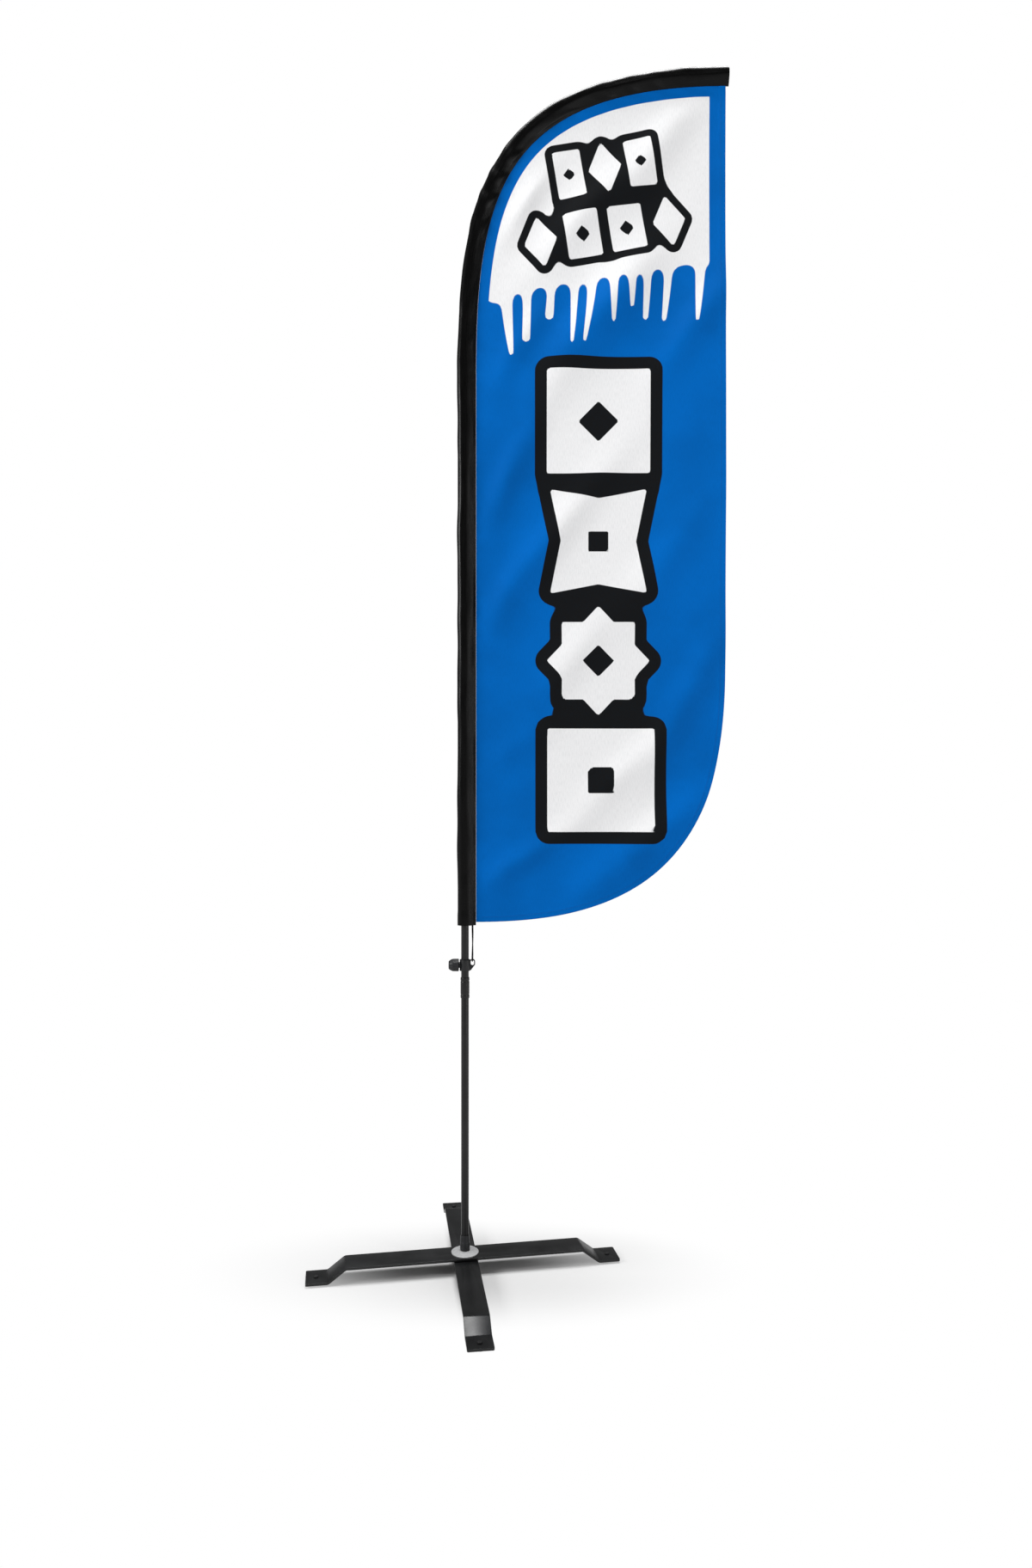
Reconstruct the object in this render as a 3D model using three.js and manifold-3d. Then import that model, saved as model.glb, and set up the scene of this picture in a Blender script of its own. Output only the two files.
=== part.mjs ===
// A feather flag on a folding cross base: a bent mast of plug-together tubes and rods carries
// a cloth in a pole pocket, a clamp on the mast pulls the cloth tight with an elastic cord, and
// the mast turns with the wind on a spindle that is bolted through two crossing steel bars.
// Millimetres, +Z up. The cloth lies in the XZ plane and its free edge points to +X.
import * as THREE from "three";
import { mergeVertices } from "three/addons/utils/BufferGeometryUtils.js";
import Module from "manifold-3d";

const wasm = await Module();
wasm.setup();

// ---- Driving dimensions ----

const GAP = 0.3; // clearance left between pieces that touch
const BEYOND = 1; // how far a cutting tool runs past the surface it cuts

// cross base
const BAR_LENGTH = 654;
const UPPER_BAR_WIDTH = 60;
const LOWER_BAR_WIDTH = 50;
const BAR_THICKNESS = 5;
const BAR_RAISED_LENGTH = 494; // level middle, between the upper bends
const BAR_SLOPE_RUN = 35; // floor length of each slope
const BAR_BEND_RADIUS = 9; // at mid thickness
const BAR_BEND_STEPS = 4;
const BAR_CORNER_RADIUS = 3;
const UPPER_BAR_RISE = 26; // from the foot to the level middle
const UPPER_BAR_TURN = THREE.MathUtils.degToRad(9.9); // from the cloth's plane
const LOWER_BAR_TURN = THREE.MathUtils.degToRad(97.8);
const FRICTION_WASHER_RADIUS = 20;
const FRICTION_WASHER_THICKNESS = 1;

// rubber feet
const PAD_HEIGHT = 4; // floor to the underside of a bar's foot
const PAD_RADIUS = 15;
const PAD_EDGE = 1; // chamfer round the sole
const PAD_NECK_RADIUS = 3.7;
const PAD_HEAD_RADIUS = 5;
const PAD_HEAD_HEIGHT = 2.2;
const PAD_INSET = 21; // from the bar's end

// hub
const AXLE_RADIUS = 4;
const HEAD_WALL = 2.5; // axle's surface to a flat of its head or nut
const AXLE_HEAD_HEIGHT = 5.3;
const AXLE_END = 2.5; // axle above its retaining clip
const FLANGE_RADIUS = 28.5;
const FLANGE_EDGE = 2.4;
const FLANGE_HEIGHT = 5.5;
const FLANGE_TOP_RADIUS = 13;
const NUT_HEIGHT = 6.5;
const CLIP_THICKNESS = 1;
const CLIP_WIDTH = 2.4;
const CLIP_OPENING = 5;
const CLIP_GROOVE_DEPTH = 0.7;

// spindle
const SPINDLE_LENGTH = 110;
const SPINDLE_WALL = 1.2;
const BUSHING_WALL = 0.6;
const BUSHING_FLANGE = 1.5;
const BUSHING_LENGTH = 12;
const CUP_WALL = 1.95;
const CUP_RIM_WALL = 1;
const NUT_EASE = 0.8; // round the nut's corners
const CUP_FLOOR = 8;
const CUP_RIM_HEIGHT = 14; // round the foot of the pole

// pole
const POLE_WALL = 1.3;
const LOWER_POLE_LENGTH = 531;
const COUPLING_WALL = 1;
const COUPLING_LENGTH = 43;
const COUPLING_GRIP = 21.5; // length on the lower tube
const SPIGOT_LENGTH = 70; // plugged into the section below
const SPIGOT_TAPER = 4;
const MAST_SECTION_LENGTH = 566.5; // each of the four sections above the coupling
const UPPER_TUBE_WALL = 1.2;
const FERRULE_WALL = 1.1;
const FERRULE_LENGTH = 20;
const ROD_FERRULE_LENGTH = 70;
const TIP_CAP_LENGTH = 22;
const TIP_CAP_WALL = 1.5;

// bend of the mast, a cubic whose ends are upright and level
const BEND_REACH = 551.3;
const BEND_RISE = 626.9;
const BEND_UPRIGHT_HANDLE = 375;
const BEND_LEVEL_HANDLE = 500;
const BEND_STEPS = 22; // straight facets that all pieces in the bend share

// pole pocket
const SLEEVE_FOOT = 109; // from the coupling's top to the pocket's mouth
const SLEEVE_BACK = 7.5; // slack behind the tube
const SLEEVE_FRONT = 15; // tube to the seam with the cloth
const SLEEVE_EASE = 0.4; // each side of the widest ferrule
const SLEEVE_WALL = 1.2;
const SLEEVE_NARROWS_FROM = 2; // in front of the mast's axis
const SLEEVE_SHOULDER = 7; // the corner that the narrowing curve bends round
const SLEEVE_SEAM_THICKNESS = 3;
const SLEEVE_SEAM_WIDTH = 2.5;
const END_PATCH_THICKNESS = 1.5;

// cloth
const CLOTH_THICKNESS = 1.2;
const CLOTH_FOOT_ABOVE_MOUTH = 6.5;
const CLOTH_EDGE_INSET = 6.3; // free edge behind the mast's end
const CORNER_HEIGHT = 522.5; // of the round lower corner
const CORNER_UPRIGHT_HANDLE = 366;
const CORNER_LEVEL_HANDLE = 366;

// tension clamp
const CLAMP_ABOVE_COUPLING = 14;
const CLAMP_HEIGHT = 23;
const CLAMP_WALL = 2.7;
const BOSS_WALL = 1.2;
const BOSS_LENGTH = 5.5; // proud of the collar
const INSERT_WALL = 1.4;
const INSERT_LENGTH = 3.6;
const STUD_RADIUS = 3;
const PRESSURE_PAD_LIP = 0.2; // beyond the stud's radius
const PRESSURE_PAD_THICKNESS = 1.5;
const KNOB_RADIUS = 13;
const KNOB_RECESS_EASE = 0.8; // round the boss
const KNOB_LENGTH = 21.5;
const KNOB_ROUND = 10; // radius of its outer edge
const KNOB_CHAMFER = 1; // round the face by the collar
const KNOB_FACE_GAP = 2; // between collar and knob
const KNOB_CAP = 4.5; // solid end beyond the stud
const LUG_THICKNESS = 4;
const LUG_INSET = 1; // from the collar's upper and lower edges
const LUG_FOOT = 1.5; // proud of the collar at its lower edge
const EYE_OFFSET = 4.5; // collar's surface to the middle of the eye
const EYE_ABOVE_MIDDLE = 5.2;
const EYE_RADIUS = 3.5;
const EYE_STRAIGHT = 4; // the eye is this much taller than wide
const EYE_WALL = 2.2;

// elastic cord
const CORD_RADIUS = 1.2;
const CORD_STEPS = 60;
const TAB_WIDTH = 5;
const TAB_THICKNESS = 1.6;
const TAB_HEIGHT = 22;
const TAB_OFFSET = 7.5; // tube's surface to the middle of the tab
const TAB_ABOVE_MOUTH = 3;
// Route of the cord, from the tab down in front of the lug, through the eye and up behind it.
const CORD_ROUTE = [
  [16.4, -1.3, 722.6],
  [16.6, -1.6, 715],
  [16.7, -2.3, 700],
  [16.3, -3.0, 683],
  [15.5, -3.7, 664],
  [15.1, -4.1, 653],
  [15.1, -3.9, 648],
  [15.2, -2.5, 645.2],
  [15.5, 0, 644.4],
  [15.8, 2.5, 645.2],
  [16.0, 3.9, 648],
  [16.2, 4.1, 653],
  [16.2, 3.7, 664],
  [15.9, 3.0, 683],
  [15.4, 2.3, 700],
  [15.1, 1.6, 715],
  [15.0, 1.3, 722.6],
];

// numbers of flats on round pieces
const FINE = 32;
const ROUND = 20;
const PLAIN = 16;
const SLIM = 12;

// ---- Heights worked out from the dimensions above ----

const upperBarUnderside = PAD_HEIGHT + UPPER_BAR_RISE;
const upperBarTop = upperBarUnderside + BAR_THICKNESS;
const frictionWasherBottom = upperBarUnderside - GAP - FRICTION_WASHER_THICKNESS;
const lowerBarTop = frictionWasherBottom - GAP;
const lowerBarRise = lowerBarTop - BAR_THICKNESS - PAD_HEIGHT;
const axleHeadTop = lowerBarTop - BAR_THICKNESS - GAP;
const flangeBottom = upperBarTop + GAP;
const flangeTop = flangeBottom + FLANGE_HEIGHT;
const nutBottom = flangeTop + GAP;
const lowerBushingBottom = nutBottom + NUT_HEIGHT + GAP;
const spindleBottom = lowerBushingBottom + BUSHING_FLANGE + GAP;
const spindleTop = spindleBottom + SPINDLE_LENGTH;
const clipBottom = spindleTop + BUSHING_FLANGE + 2 * GAP;
const axleTop = clipBottom + CLIP_THICKNESS + AXLE_END;
const cupFloorTop = spindleBottom + GAP + CUP_FLOOR;
const poleFoot = cupFloorTop + GAP;
const lowerPoleTop = poleFoot + LOWER_POLE_LENGTH;
const couplingBottom = lowerPoleTop - COUPLING_GRIP;
const couplingTop = couplingBottom + COUPLING_LENGTH;
const mastFoot = lowerPoleTop + GAP;
const clampMiddle = couplingTop + CLAMP_ABOVE_COUPLING + CLAMP_HEIGHT / 2;
const sleeveFoot = couplingTop + SLEEVE_FOOT;
const clothFoot = sleeveFoot + CLOTH_FOOT_ABOVE_MOUTH;

// ---- Radii, from the axle outwards ----

const bushingBore = AXLE_RADIUS + GAP;
const bushingRadius = bushingBore + BUSHING_WALL;
const spindleBore = bushingRadius + GAP;
const spindleRadius = spindleBore + SPINDLE_WALL;
const poleBore = spindleRadius + GAP;
const poleRadius = poleBore + POLE_WALL;
const poleSocket = poleRadius + GAP; // bore of what the pole stands in or slides through
const hexFlats = 2 * (AXLE_RADIUS + HEAD_WALL);
const nutSocket = hexFlats / Math.sqrt(3) + NUT_EASE;
const clampRadius = poleSocket + CLAMP_WALL;
const sleeveHalf = poleSocket + FERRULE_WALL + SLEEVE_EASE + SLEEVE_WALL;
const sleeveBack = poleRadius + SLEEVE_BACK;
const sleeveFront = poleRadius + SLEEVE_FRONT;

// The mast's sections plug into the bore of the one below.
const thirdRadius = poleBore - GAP;
const thirdBore = thirdRadius - UPPER_TUBE_WALL;
const rodRadius = thirdBore - GAP;

// ---- Finishes ----

function finish(color, roughness, metalness) {
  return () => new THREE.MeshStandardMaterial({ color, roughness, metalness });
}

const powderCoat = finish(0x26282a, 0.55, 0.3);
const blackPole = finish(0x242526, 0.35, 0.5);
const zinc = finish(0xb4b8ba, 0.4, 0.9);
const springSteel = finish(0x4a4d50, 0.35, 1);
const brass = finish(0xb08d4a, 0.35, 1);
const rubber = finish(0x161616, 0.9, 0);
const fibre = finish(0x5a3a2a, 0.9, 0);
const whiteNylon = finish(0xd8d4c8, 0.6, 0);
const blackPlastic = finish(0x1e1f21, 0.5, 0);
const glassFibre = finish(0x1c1c1e, 0.5, 0);
const blackSatin = finish(0x121214, 0.6, 0);
const blackWebbing = finish(0x181818, 0.9, 0);
const blueCloth = finish(0x005eaf, 0.8, 0);

// ---- Solids, joins and cuts ----

function solidOf(geometry) {
  const bare = geometry.index ? geometry.toNonIndexed() : geometry.clone();
  bare.deleteAttribute("normal");
  bare.deleteAttribute("uv");
  const merged = mergeVertices(bare, 1e-4);
  return new wasm.Manifold(
    new wasm.Mesh({
      numProp: 3,
      vertProperties: merged.getAttribute("position").array,
      triVerts: new Uint32Array(merged.index.array),
    }),
  );
}

function geometryOf(solid) {
  const mesh = solid.getMesh();
  const geometry = new THREE.BufferGeometry();
  geometry.setAttribute("position", new THREE.BufferAttribute(mesh.vertProperties, 3));
  geometry.setIndex(new THREE.BufferAttribute(mesh.triVerts, 1));
  return geometry;
}

function cut(geometry, ...tools) {
  return geometryOf(tools.reduce((left, tool) => left.subtract(solidOf(tool)), solidOf(geometry)));
}

function join(geometry, ...others) {
  return geometryOf(others.reduce((sum, other) => sum.add(solidOf(other)), solidOf(geometry)));
}

function common(geometry, other) {
  return geometryOf(solidOf(geometry).intersect(solidOf(other)));
}

// Six times the volume inside the triangles, negative when they face inwards.
function signedVolume(geometry) {
  const position = geometry.getAttribute("position");
  const [a, b, c] = [new THREE.Vector3(), new THREE.Vector3(), new THREE.Vector3()];
  let sum = 0;
  for (let i = 0; i < position.count; i += 3) {
    a.fromBufferAttribute(position, i);
    b.fromBufferAttribute(position, i + 1);
    c.fromBufferAttribute(position, i + 2);
    sum += a.dot(b.cross(c));
  }
  return sum;
}

// The same surface with every triangle facing out.
function facingOut(geometry) {
  const loose = geometry.index ? geometry.toNonIndexed() : geometry;
  if (signedVolume(loose) < 0) {
    const order = Array.from({ length: loose.getAttribute("position").count }, (_, i) => i);
    for (let i = 0; i < order.length; i += 3) {
      [order[i + 1], order[i + 2]] = [order[i + 2], order[i + 1]];
    }
    loose.setIndex(order);
  }
  return loose;
}

// A solid of revolution about Z from [radius, height] corners. A profile that starts off the
// axis is closed on itself, so it makes a ring.
function turned(profile, sides = ROUND) {
  const points = profile.map(([radius, height]) => new THREE.Vector2(radius, height));
  if (points[0].x > 0) {
    points.push(points[0].clone());
  }
  return facingOut(new THREE.LatheGeometry(points, sides).rotateX(Math.PI / 2));
}

function rod(radius, bottom, top, sides = ROUND) {
  return turned([[0, bottom], [radius, bottom], [radius, top], [0, top]], sides);
}

function tube(radius, bore, bottom, top, sides = PLAIN) {
  return turned([[bore, bottom], [radius, bottom], [radius, top], [bore, top]], sides);
}

function hexagon(flats, bottom, height) {
  const hex = new THREE.CylinderGeometry(flats / Math.sqrt(3), flats / Math.sqrt(3), height, 6);
  return hex.rotateX(Math.PI / 2).translate(0, 0, bottom + height / 2);
}

// A shape drawn in x and z, as a plate of the given thickness centred on y = 0.
function plate(shape, thickness, curveSegments = 8) {
  const options = { depth: thickness, bevelEnabled: false, curveSegments };
  const flat = new THREE.ExtrudeGeometry(shape, options);
  return flat.rotateX(Math.PI / 2).translate(0, thickness / 2, 0);
}

// ---- Assembly ----

const model = new THREE.Group();

function place(name, geometry, material, group = model) {
  const mesh = new THREE.Mesh(geometry, material());
  mesh.name = name;
  group.add(mesh);
}

// ---- Cross base ----

// Outline of a strip of even thickness that follows a bent route, with round bends.
function stripShape(route, thickness, radius, stepsPerBend) {
  const left = [];
  const right = [];
  const put = (point, direction) => {
    const side = new THREE.Vector2(-direction.y, direction.x).multiplyScalar(thickness / 2);
    left.push(point.clone().add(side));
    right.push(point.clone().sub(side));
  };
  const heading = (from, to) => to.clone().sub(from).normalize();
  put(route[0], heading(route[0], route[1]));
  for (let i = 1; i < route.length - 1; i++) {
    const inward = heading(route[i - 1], route[i]);
    const outward = heading(route[i], route[i + 1]);
    const turn = Math.atan2(inward.cross(outward), inward.dot(outward));
    const start = route[i].clone().addScaledVector(inward, -radius * Math.tan(Math.abs(turn) / 2));
    const toCentre = new THREE.Vector2(-inward.y, inward.x).multiplyScalar(radius * Math.sign(turn));
    const centre = start.clone().add(toCentre);
    for (let k = 0; k <= stepsPerBend; k++) {
      const angle = (turn * k) / stepsPerBend;
      const origin = new THREE.Vector2();
      put(start.clone().rotateAround(centre, angle), inward.clone().rotateAround(origin, angle));
    }
  }
  put(route.at(-1), heading(route.at(-2), route.at(-1)));
  return new THREE.Shape([...right, ...left.reverse()]);
}

function roundedRectangle(length, width, radius) {
  const [x, y] = [length / 2 - radius, width / 2 - radius];
  const shape = new THREE.Shape();
  shape.absarc(x, y, radius, 0, Math.PI / 2);
  shape.absarc(-x, y, radius, Math.PI / 2, Math.PI);
  shape.absarc(-x, -y, radius, Math.PI, 1.5 * Math.PI);
  shape.absarc(x, -y, radius, 1.5 * Math.PI, 2 * Math.PI);
  return shape;
}

const padReach = BAR_LENGTH / 2 - PAD_INSET;

// A cranked bar along X with a hole for the axle and one in each foot.
function crankedBar(rise, width) {
  const foot = PAD_HEIGHT + BAR_THICKNESS / 2;
  const half = [
    [BAR_RAISED_LENGTH / 2, foot + rise],
    [BAR_RAISED_LENGTH / 2 + BAR_SLOPE_RUN, foot],
    [BAR_LENGTH / 2, foot],
  ];
  const route = [
    ...half.map(([x, z]) => new THREE.Vector2(-x, z)).reverse(),
    ...half.map(([x, z]) => new THREE.Vector2(x, z)),
  ];
  const strip = plate(stripShape(route, BAR_THICKNESS, BAR_BEND_RADIUS, BAR_BEND_STEPS), width);
  const outline = roundedRectangle(BAR_LENGTH, width, BAR_CORNER_RADIUS);
  const above = upperBarTop + BAR_THICKNESS;
  const blank = new THREE.ExtrudeGeometry(outline, {
    depth: above,
    bevelEnabled: false,
    curveSegments: 4,
  });
  const holes = [
    rod(AXLE_RADIUS + GAP, 0, above),
    rod(PAD_NECK_RADIUS + GAP, 0, above, PLAIN).translate(padReach, 0, 0),
    rod(PAD_NECK_RADIUS + GAP, 0, above, PLAIN).translate(-padReach, 0, 0),
  ];
  return cut(common(strip, blank), ...holes);
}

// A rubber foot: a sole under the bar, a neck in its hole and a head on top.
function footPad() {
  const soleTop = PAD_HEIGHT - GAP;
  const headBottom = PAD_HEIGHT + BAR_THICKNESS + GAP;
  return turned([
    [0, 0],
    [PAD_RADIUS - PAD_EDGE, 0],
    [PAD_RADIUS, PAD_EDGE],
    [PAD_RADIUS, soleTop],
    [PAD_NECK_RADIUS, soleTop],
    [PAD_NECK_RADIUS, headBottom],
    [PAD_HEAD_RADIUS, headBottom],
    [PAD_HEAD_RADIUS * 0.8, headBottom + PAD_HEAD_HEIGHT * 0.7],
    [PAD_HEAD_RADIUS * 0.4, headBottom + PAD_HEAD_HEIGHT],
    [0, headBottom + PAD_HEAD_HEIGHT],
  ]);
}

function addBar(name, rise, width, turn, farPad, nearPad) {
  const group = new THREE.Group();
  group.rotation.z = turn;
  model.add(group);
  place(name, crankedBar(rise, width), powderCoat, group);
  place(farPad, footPad().translate(padReach, 0, 0), rubber, group);
  place(nearPad, footPad().translate(-padReach, 0, 0), rubber, group);
}

addBar(
  "upper_bar",
  UPPER_BAR_RISE,
  UPPER_BAR_WIDTH,
  UPPER_BAR_TURN,
  "foot_pad_right",
  "foot_pad_left",
);
addBar(
  "lower_bar",
  lowerBarRise,
  LOWER_BAR_WIDTH,
  LOWER_BAR_TURN,
  "foot_pad_back",
  "foot_pad_front",
);
place(
  "friction_washer",
  tube(
    FRICTION_WASHER_RADIUS,
    AXLE_RADIUS + GAP,
    frictionWasherBottom,
    frictionWasherBottom + FRICTION_WASHER_THICKNESS,
    ROUND,
  ),
  fibre,
);

// ---- Hub ----

const clipGroove = AXLE_RADIUS - CLIP_GROOVE_DEPTH;

place(
  "axle_bolt",
  join(
    hexagon(hexFlats, axleHeadTop - AXLE_HEAD_HEIGHT, AXLE_HEAD_HEIGHT),
    turned(
      [
        [0, axleHeadTop - AXLE_HEAD_HEIGHT / 2],
        [AXLE_RADIUS, axleHeadTop - AXLE_HEAD_HEIGHT / 2],
        [AXLE_RADIUS, clipBottom - GAP],
        [clipGroove, clipBottom - GAP],
        [clipGroove, clipBottom + CLIP_THICKNESS + GAP],
        [AXLE_RADIUS, clipBottom + CLIP_THICKNESS + GAP],
        [AXLE_RADIUS, axleTop - AXLE_END / 3],
        [AXLE_RADIUS * 0.8, axleTop],
        [0, axleTop],
      ],
      PLAIN,
    ),
  ),
  zinc,
);

place(
  "hub_flange",
  turned(
    [
      [AXLE_RADIUS + GAP, flangeBottom],
      [FLANGE_RADIUS, flangeBottom],
      [FLANGE_RADIUS, flangeBottom + FLANGE_EDGE],
      [FLANGE_TOP_RADIUS, flangeTop],
      [AXLE_RADIUS + GAP, flangeTop],
    ],
    FINE,
  ),
  zinc,
);

place(
  "hub_nut",
  cut(
    hexagon(hexFlats, nutBottom, NUT_HEIGHT),
    rod(AXLE_RADIUS + GAP, nutBottom - BEYOND, nutBottom + NUT_HEIGHT + BEYOND, PLAIN),
  ),
  zinc,
);

function clipShape() {
  const bore = clipGroove + GAP;
  const outer = bore + CLIP_WIDTH;
  const [outerStart, innerStart] = [outer, bore].map((radius) =>
    Math.asin(Math.min(CLIP_OPENING / 2 / radius, 0.9)),
  );
  const shape = new THREE.Shape();
  shape.absarc(0, 0, outer, outerStart, 2 * Math.PI - outerStart, false);
  shape.absarc(0, 0, bore, 2 * Math.PI - innerStart, innerStart, true);
  return shape;
}

place(
  "retaining_clip",
  new THREE.ExtrudeGeometry(clipShape(), {
    depth: CLIP_THICKNESS,
    bevelEnabled: false,
    curveSegments: 12,
  }).translate(0, 0, clipBottom),
  springSteel,
);

// ---- Spindle ----

place("spindle_tube", tube(spindleRadius, spindleBore, spindleBottom, spindleTop), zinc);

// A plain bearing with a flange at one end of the spindle; inward is +1 up or -1 down.
function bushing(flangeFace, inward) {
  const step = flangeFace + inward * BUSHING_FLANGE;
  const end = step + inward * (GAP + BUSHING_LENGTH);
  return turned(
    [
      [bushingBore, flangeFace],
      [spindleRadius, flangeFace],
      [spindleRadius, step],
      [bushingRadius, step],
      [bushingRadius, end],
      [bushingBore, end],
    ],
    PLAIN,
  );
}

place("lower_bushing", bushing(lowerBushingBottom, 1), whiteNylon);
place("upper_bushing", bushing(spindleTop + GAP + BUSHING_FLANGE, -1), whiteNylon);

const cupBottom = flangeTop + GAP;
const cupTop = cupFloorTop + CUP_RIM_HEIGHT;
const cupRadius = Math.max(poleSocket, nutSocket) + CUP_WALL;

place(
  "spindle_cup",
  turned([
    [nutSocket, cupBottom],
    [cupRadius, cupBottom],
    [cupRadius, cupFloorTop],
    [poleSocket + CUP_RIM_WALL, cupTop],
    [poleSocket, cupTop],
    [poleSocket, cupFloorTop],
    [poleBore, cupFloorTop],
    [poleBore, cupFloorTop - CUP_FLOOR],
    [nutSocket, cupFloorTop - CUP_FLOOR],
  ]),
  blackPlastic,
);

// ---- Lower pole ----

place("pole_section_1", tube(poleRadius, poleBore, poleFoot, lowerPoleTop, ROUND), blackPole);
place(
  "pole_coupling",
  tube(poleSocket + COUPLING_WALL, poleSocket, couplingBottom, couplingTop, ROUND),
  blackPole,
);

// ---- Mast ----

// The mast is measured by the height or, in the bend, the length along it from the floor.
const mastTop = mastFoot + 4 * MAST_SECTION_LENGTH;
const upright = new THREE.Vector3(0, 0, 1);

function bendFrom(height) {
  return new THREE.CubicBezierCurve3(
    new THREE.Vector3(0, 0, height),
    new THREE.Vector3(0, 0, height + BEND_UPRIGHT_HANDLE),
    new THREE.Vector3(BEND_REACH - BEND_LEVEL_HANDLE, 0, height + BEND_RISE),
    new THREE.Vector3(BEND_REACH, 0, height + BEND_RISE),
  );
}

const bendLength = bendFrom(0).getLength();
const bendStart = mastTop - bendLength;
const bend = bendFrom(bendStart);

const bendPoints = bend.getSpacedPoints(BEND_STEPS);
const bendDirections = bendPoints.map((_, i) => bend.getTangentAt(i / BEND_STEPS));

// Blends the two entries of a list of bend vectors on either side of a place along the mast.
function inBend(vectors, along) {
  const at = Math.min((along - bendStart) / bendLength, 1) * BEND_STEPS;
  const index = Math.min(Math.floor(at), BEND_STEPS - 1);
  return vectors[index].clone().lerp(vectors[index + 1], at - index);
}

function mastPoint(along) {
  return along <= bendStart ? new THREE.Vector3(0, 0, along) : inBend(bendPoints, along);
}

function mastDirection(along) {
  return along <= bendStart ? upright.clone() : inBend(bendDirections, along).normalize();
}

// A point beside the mast's axis, on the cloth's side when beside is positive.
function besideMast(along, beside) {
  const direction = mastDirection(along);
  return mastPoint(along).add(
    new THREE.Vector3(direction.z, 0, -direction.x).multiplyScalar(beside),
  );
}

// Places along the mast between two ends, with one at each facet edge of the bend.
function stations(from, to) {
  const edges = bendPoints.map((_, i) => bendStart + (bendLength * i) / BEND_STEPS);
  return [from, ...edges.filter((edge) => edge > from + 1 && edge < to - 1), to];
}

// The stretch of the mast's axis through some stations, for an extrusion with a step at each.
class MastStretch extends THREE.Curve {
  constructor(places) {
    super();
    this.places = places;
  }

  along(share) {
    const at = share * (this.places.length - 1);
    const index = Math.min(Math.floor(at), this.places.length - 2);
    return THREE.MathUtils.lerp(this.places[index], this.places[index + 1], at - index);
  }

  getPoint(share) {
    return mastPoint(this.along(share));
  }

  getPointAt(share) {
    return this.getPoint(share);
  }

  getTangentAt(share) {
    return mastDirection(this.along(share));
  }
}

function alongMast(shape, from, to, curveSegments = 8) {
  const places = stations(from, to);
  const options = {
    steps: places.length - 1,
    bevelEnabled: false,
    curveSegments,
    extrudePath: new MastStretch(places),
  };
  return facingOut(new THREE.ExtrudeGeometry(shape, options));
}

function disc(radius, sides) {
  const corners = Array.from({ length: sides }, (_, i) => {
    const angle = (2 * Math.PI * i) / sides;
    return new THREE.Vector2(radius * Math.cos(angle), radius * Math.sin(angle));
  });
  return new THREE.Shape(corners);
}

function ring(radius, bore, sides) {
  const shape = disc(radius, sides);
  shape.holes.push(disc(bore, sides));
  return shape;
}

const spigotRadius = poleBore - GAP;
const spigotBore = spigotRadius - UPPER_TUBE_WALL;
const secondTop = mastFoot + MAST_SECTION_LENGTH;
const thirdTop = secondTop + MAST_SECTION_LENGTH;
const fourthTop = thirdTop + MAST_SECTION_LENGTH;
const sleeveTop = mastTop - END_PATCH_THICKNESS - GAP;
const tipCapTop = sleeveTop - GAP;
const fifthTop = tipCapTop - TIP_CAP_WALL - GAP;

place(
  "pole_section_2",
  turned([
    [spigotBore, mastFoot - SPIGOT_LENGTH],
    [spigotRadius, mastFoot - SPIGOT_LENGTH],
    [spigotRadius, mastFoot - GAP],
    [poleRadius, mastFoot],
    [poleRadius, secondTop],
    [poleBore, secondTop],
    [poleBore, mastFoot + SPIGOT_TAPER],
    [spigotBore, mastFoot + SPIGOT_TAPER - POLE_WALL],
  ]),
  blackPole,
);
place(
  "ferrule_2",
  alongMast(
    ring(poleSocket + FERRULE_WALL, poleSocket, PLAIN),
    secondTop - FERRULE_LENGTH,
    secondTop,
  ),
  zinc,
);
place(
  "pole_section_3",
  alongMast(ring(thirdRadius, thirdBore, SLIM), secondTop - SPIGOT_LENGTH, thirdTop),
  blackPole,
);
place(
  "ferrule_3",
  alongMast(
    ring(thirdRadius + GAP + FERRULE_WALL, thirdRadius + GAP, SLIM),
    thirdTop - FERRULE_LENGTH,
    thirdTop,
  ),
  zinc,
);
place(
  "pole_section_4",
  alongMast(disc(rodRadius, SLIM), thirdTop - SPIGOT_LENGTH, fourthTop),
  glassFibre,
);
place(
  "ferrule_4",
  alongMast(
    ring(rodRadius + GAP + FERRULE_WALL, rodRadius + GAP, SLIM),
    fourthTop - ROD_FERRULE_LENGTH / 2,
    fourthTop + ROD_FERRULE_LENGTH / 2,
  ),
  zinc,
);
place(
  "pole_section_5",
  alongMast(disc(rodRadius, SLIM), fourthTop + GAP, fifthTop),
  glassFibre,
);

function tipCap() {
  const foot = tipCapTop - TIP_CAP_LENGTH;
  const shell = alongMast(disc(rodRadius + GAP + TIP_CAP_WALL, SLIM), foot, tipCapTop);
  const hollow = alongMast(disc(rodRadius + GAP, SLIM), foot - BEYOND, tipCapTop - TIP_CAP_WALL);
  return cut(shell, hollow);
}

place("tip_cap", tipCap(), rubber);

// ---- Pole pocket ----

// Section of the pocket: round behind the mast, narrowing to the seam with the cloth. The
// shape's x runs through the thickness and its y towards the cloth.
function pocketShape(inset, front, seamHalf) {
  const half = sleeveHalf - inset;
  const middle = sleeveHalf - sleeveBack;
  const shape = new THREE.Shape();
  shape.moveTo(-seamHalf, front);
  shape.quadraticCurveTo(-half, SLEEVE_SHOULDER, -half, SLEEVE_NARROWS_FROM);
  shape.lineTo(-half, middle);
  shape.absarc(0, middle, half, Math.PI, 2 * Math.PI, false);
  shape.lineTo(half, SLEEVE_NARROWS_FROM);
  shape.quadraticCurveTo(half, SLEEVE_SHOULDER, seamHalf, front);
  shape.closePath();
  return shape;
}

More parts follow.
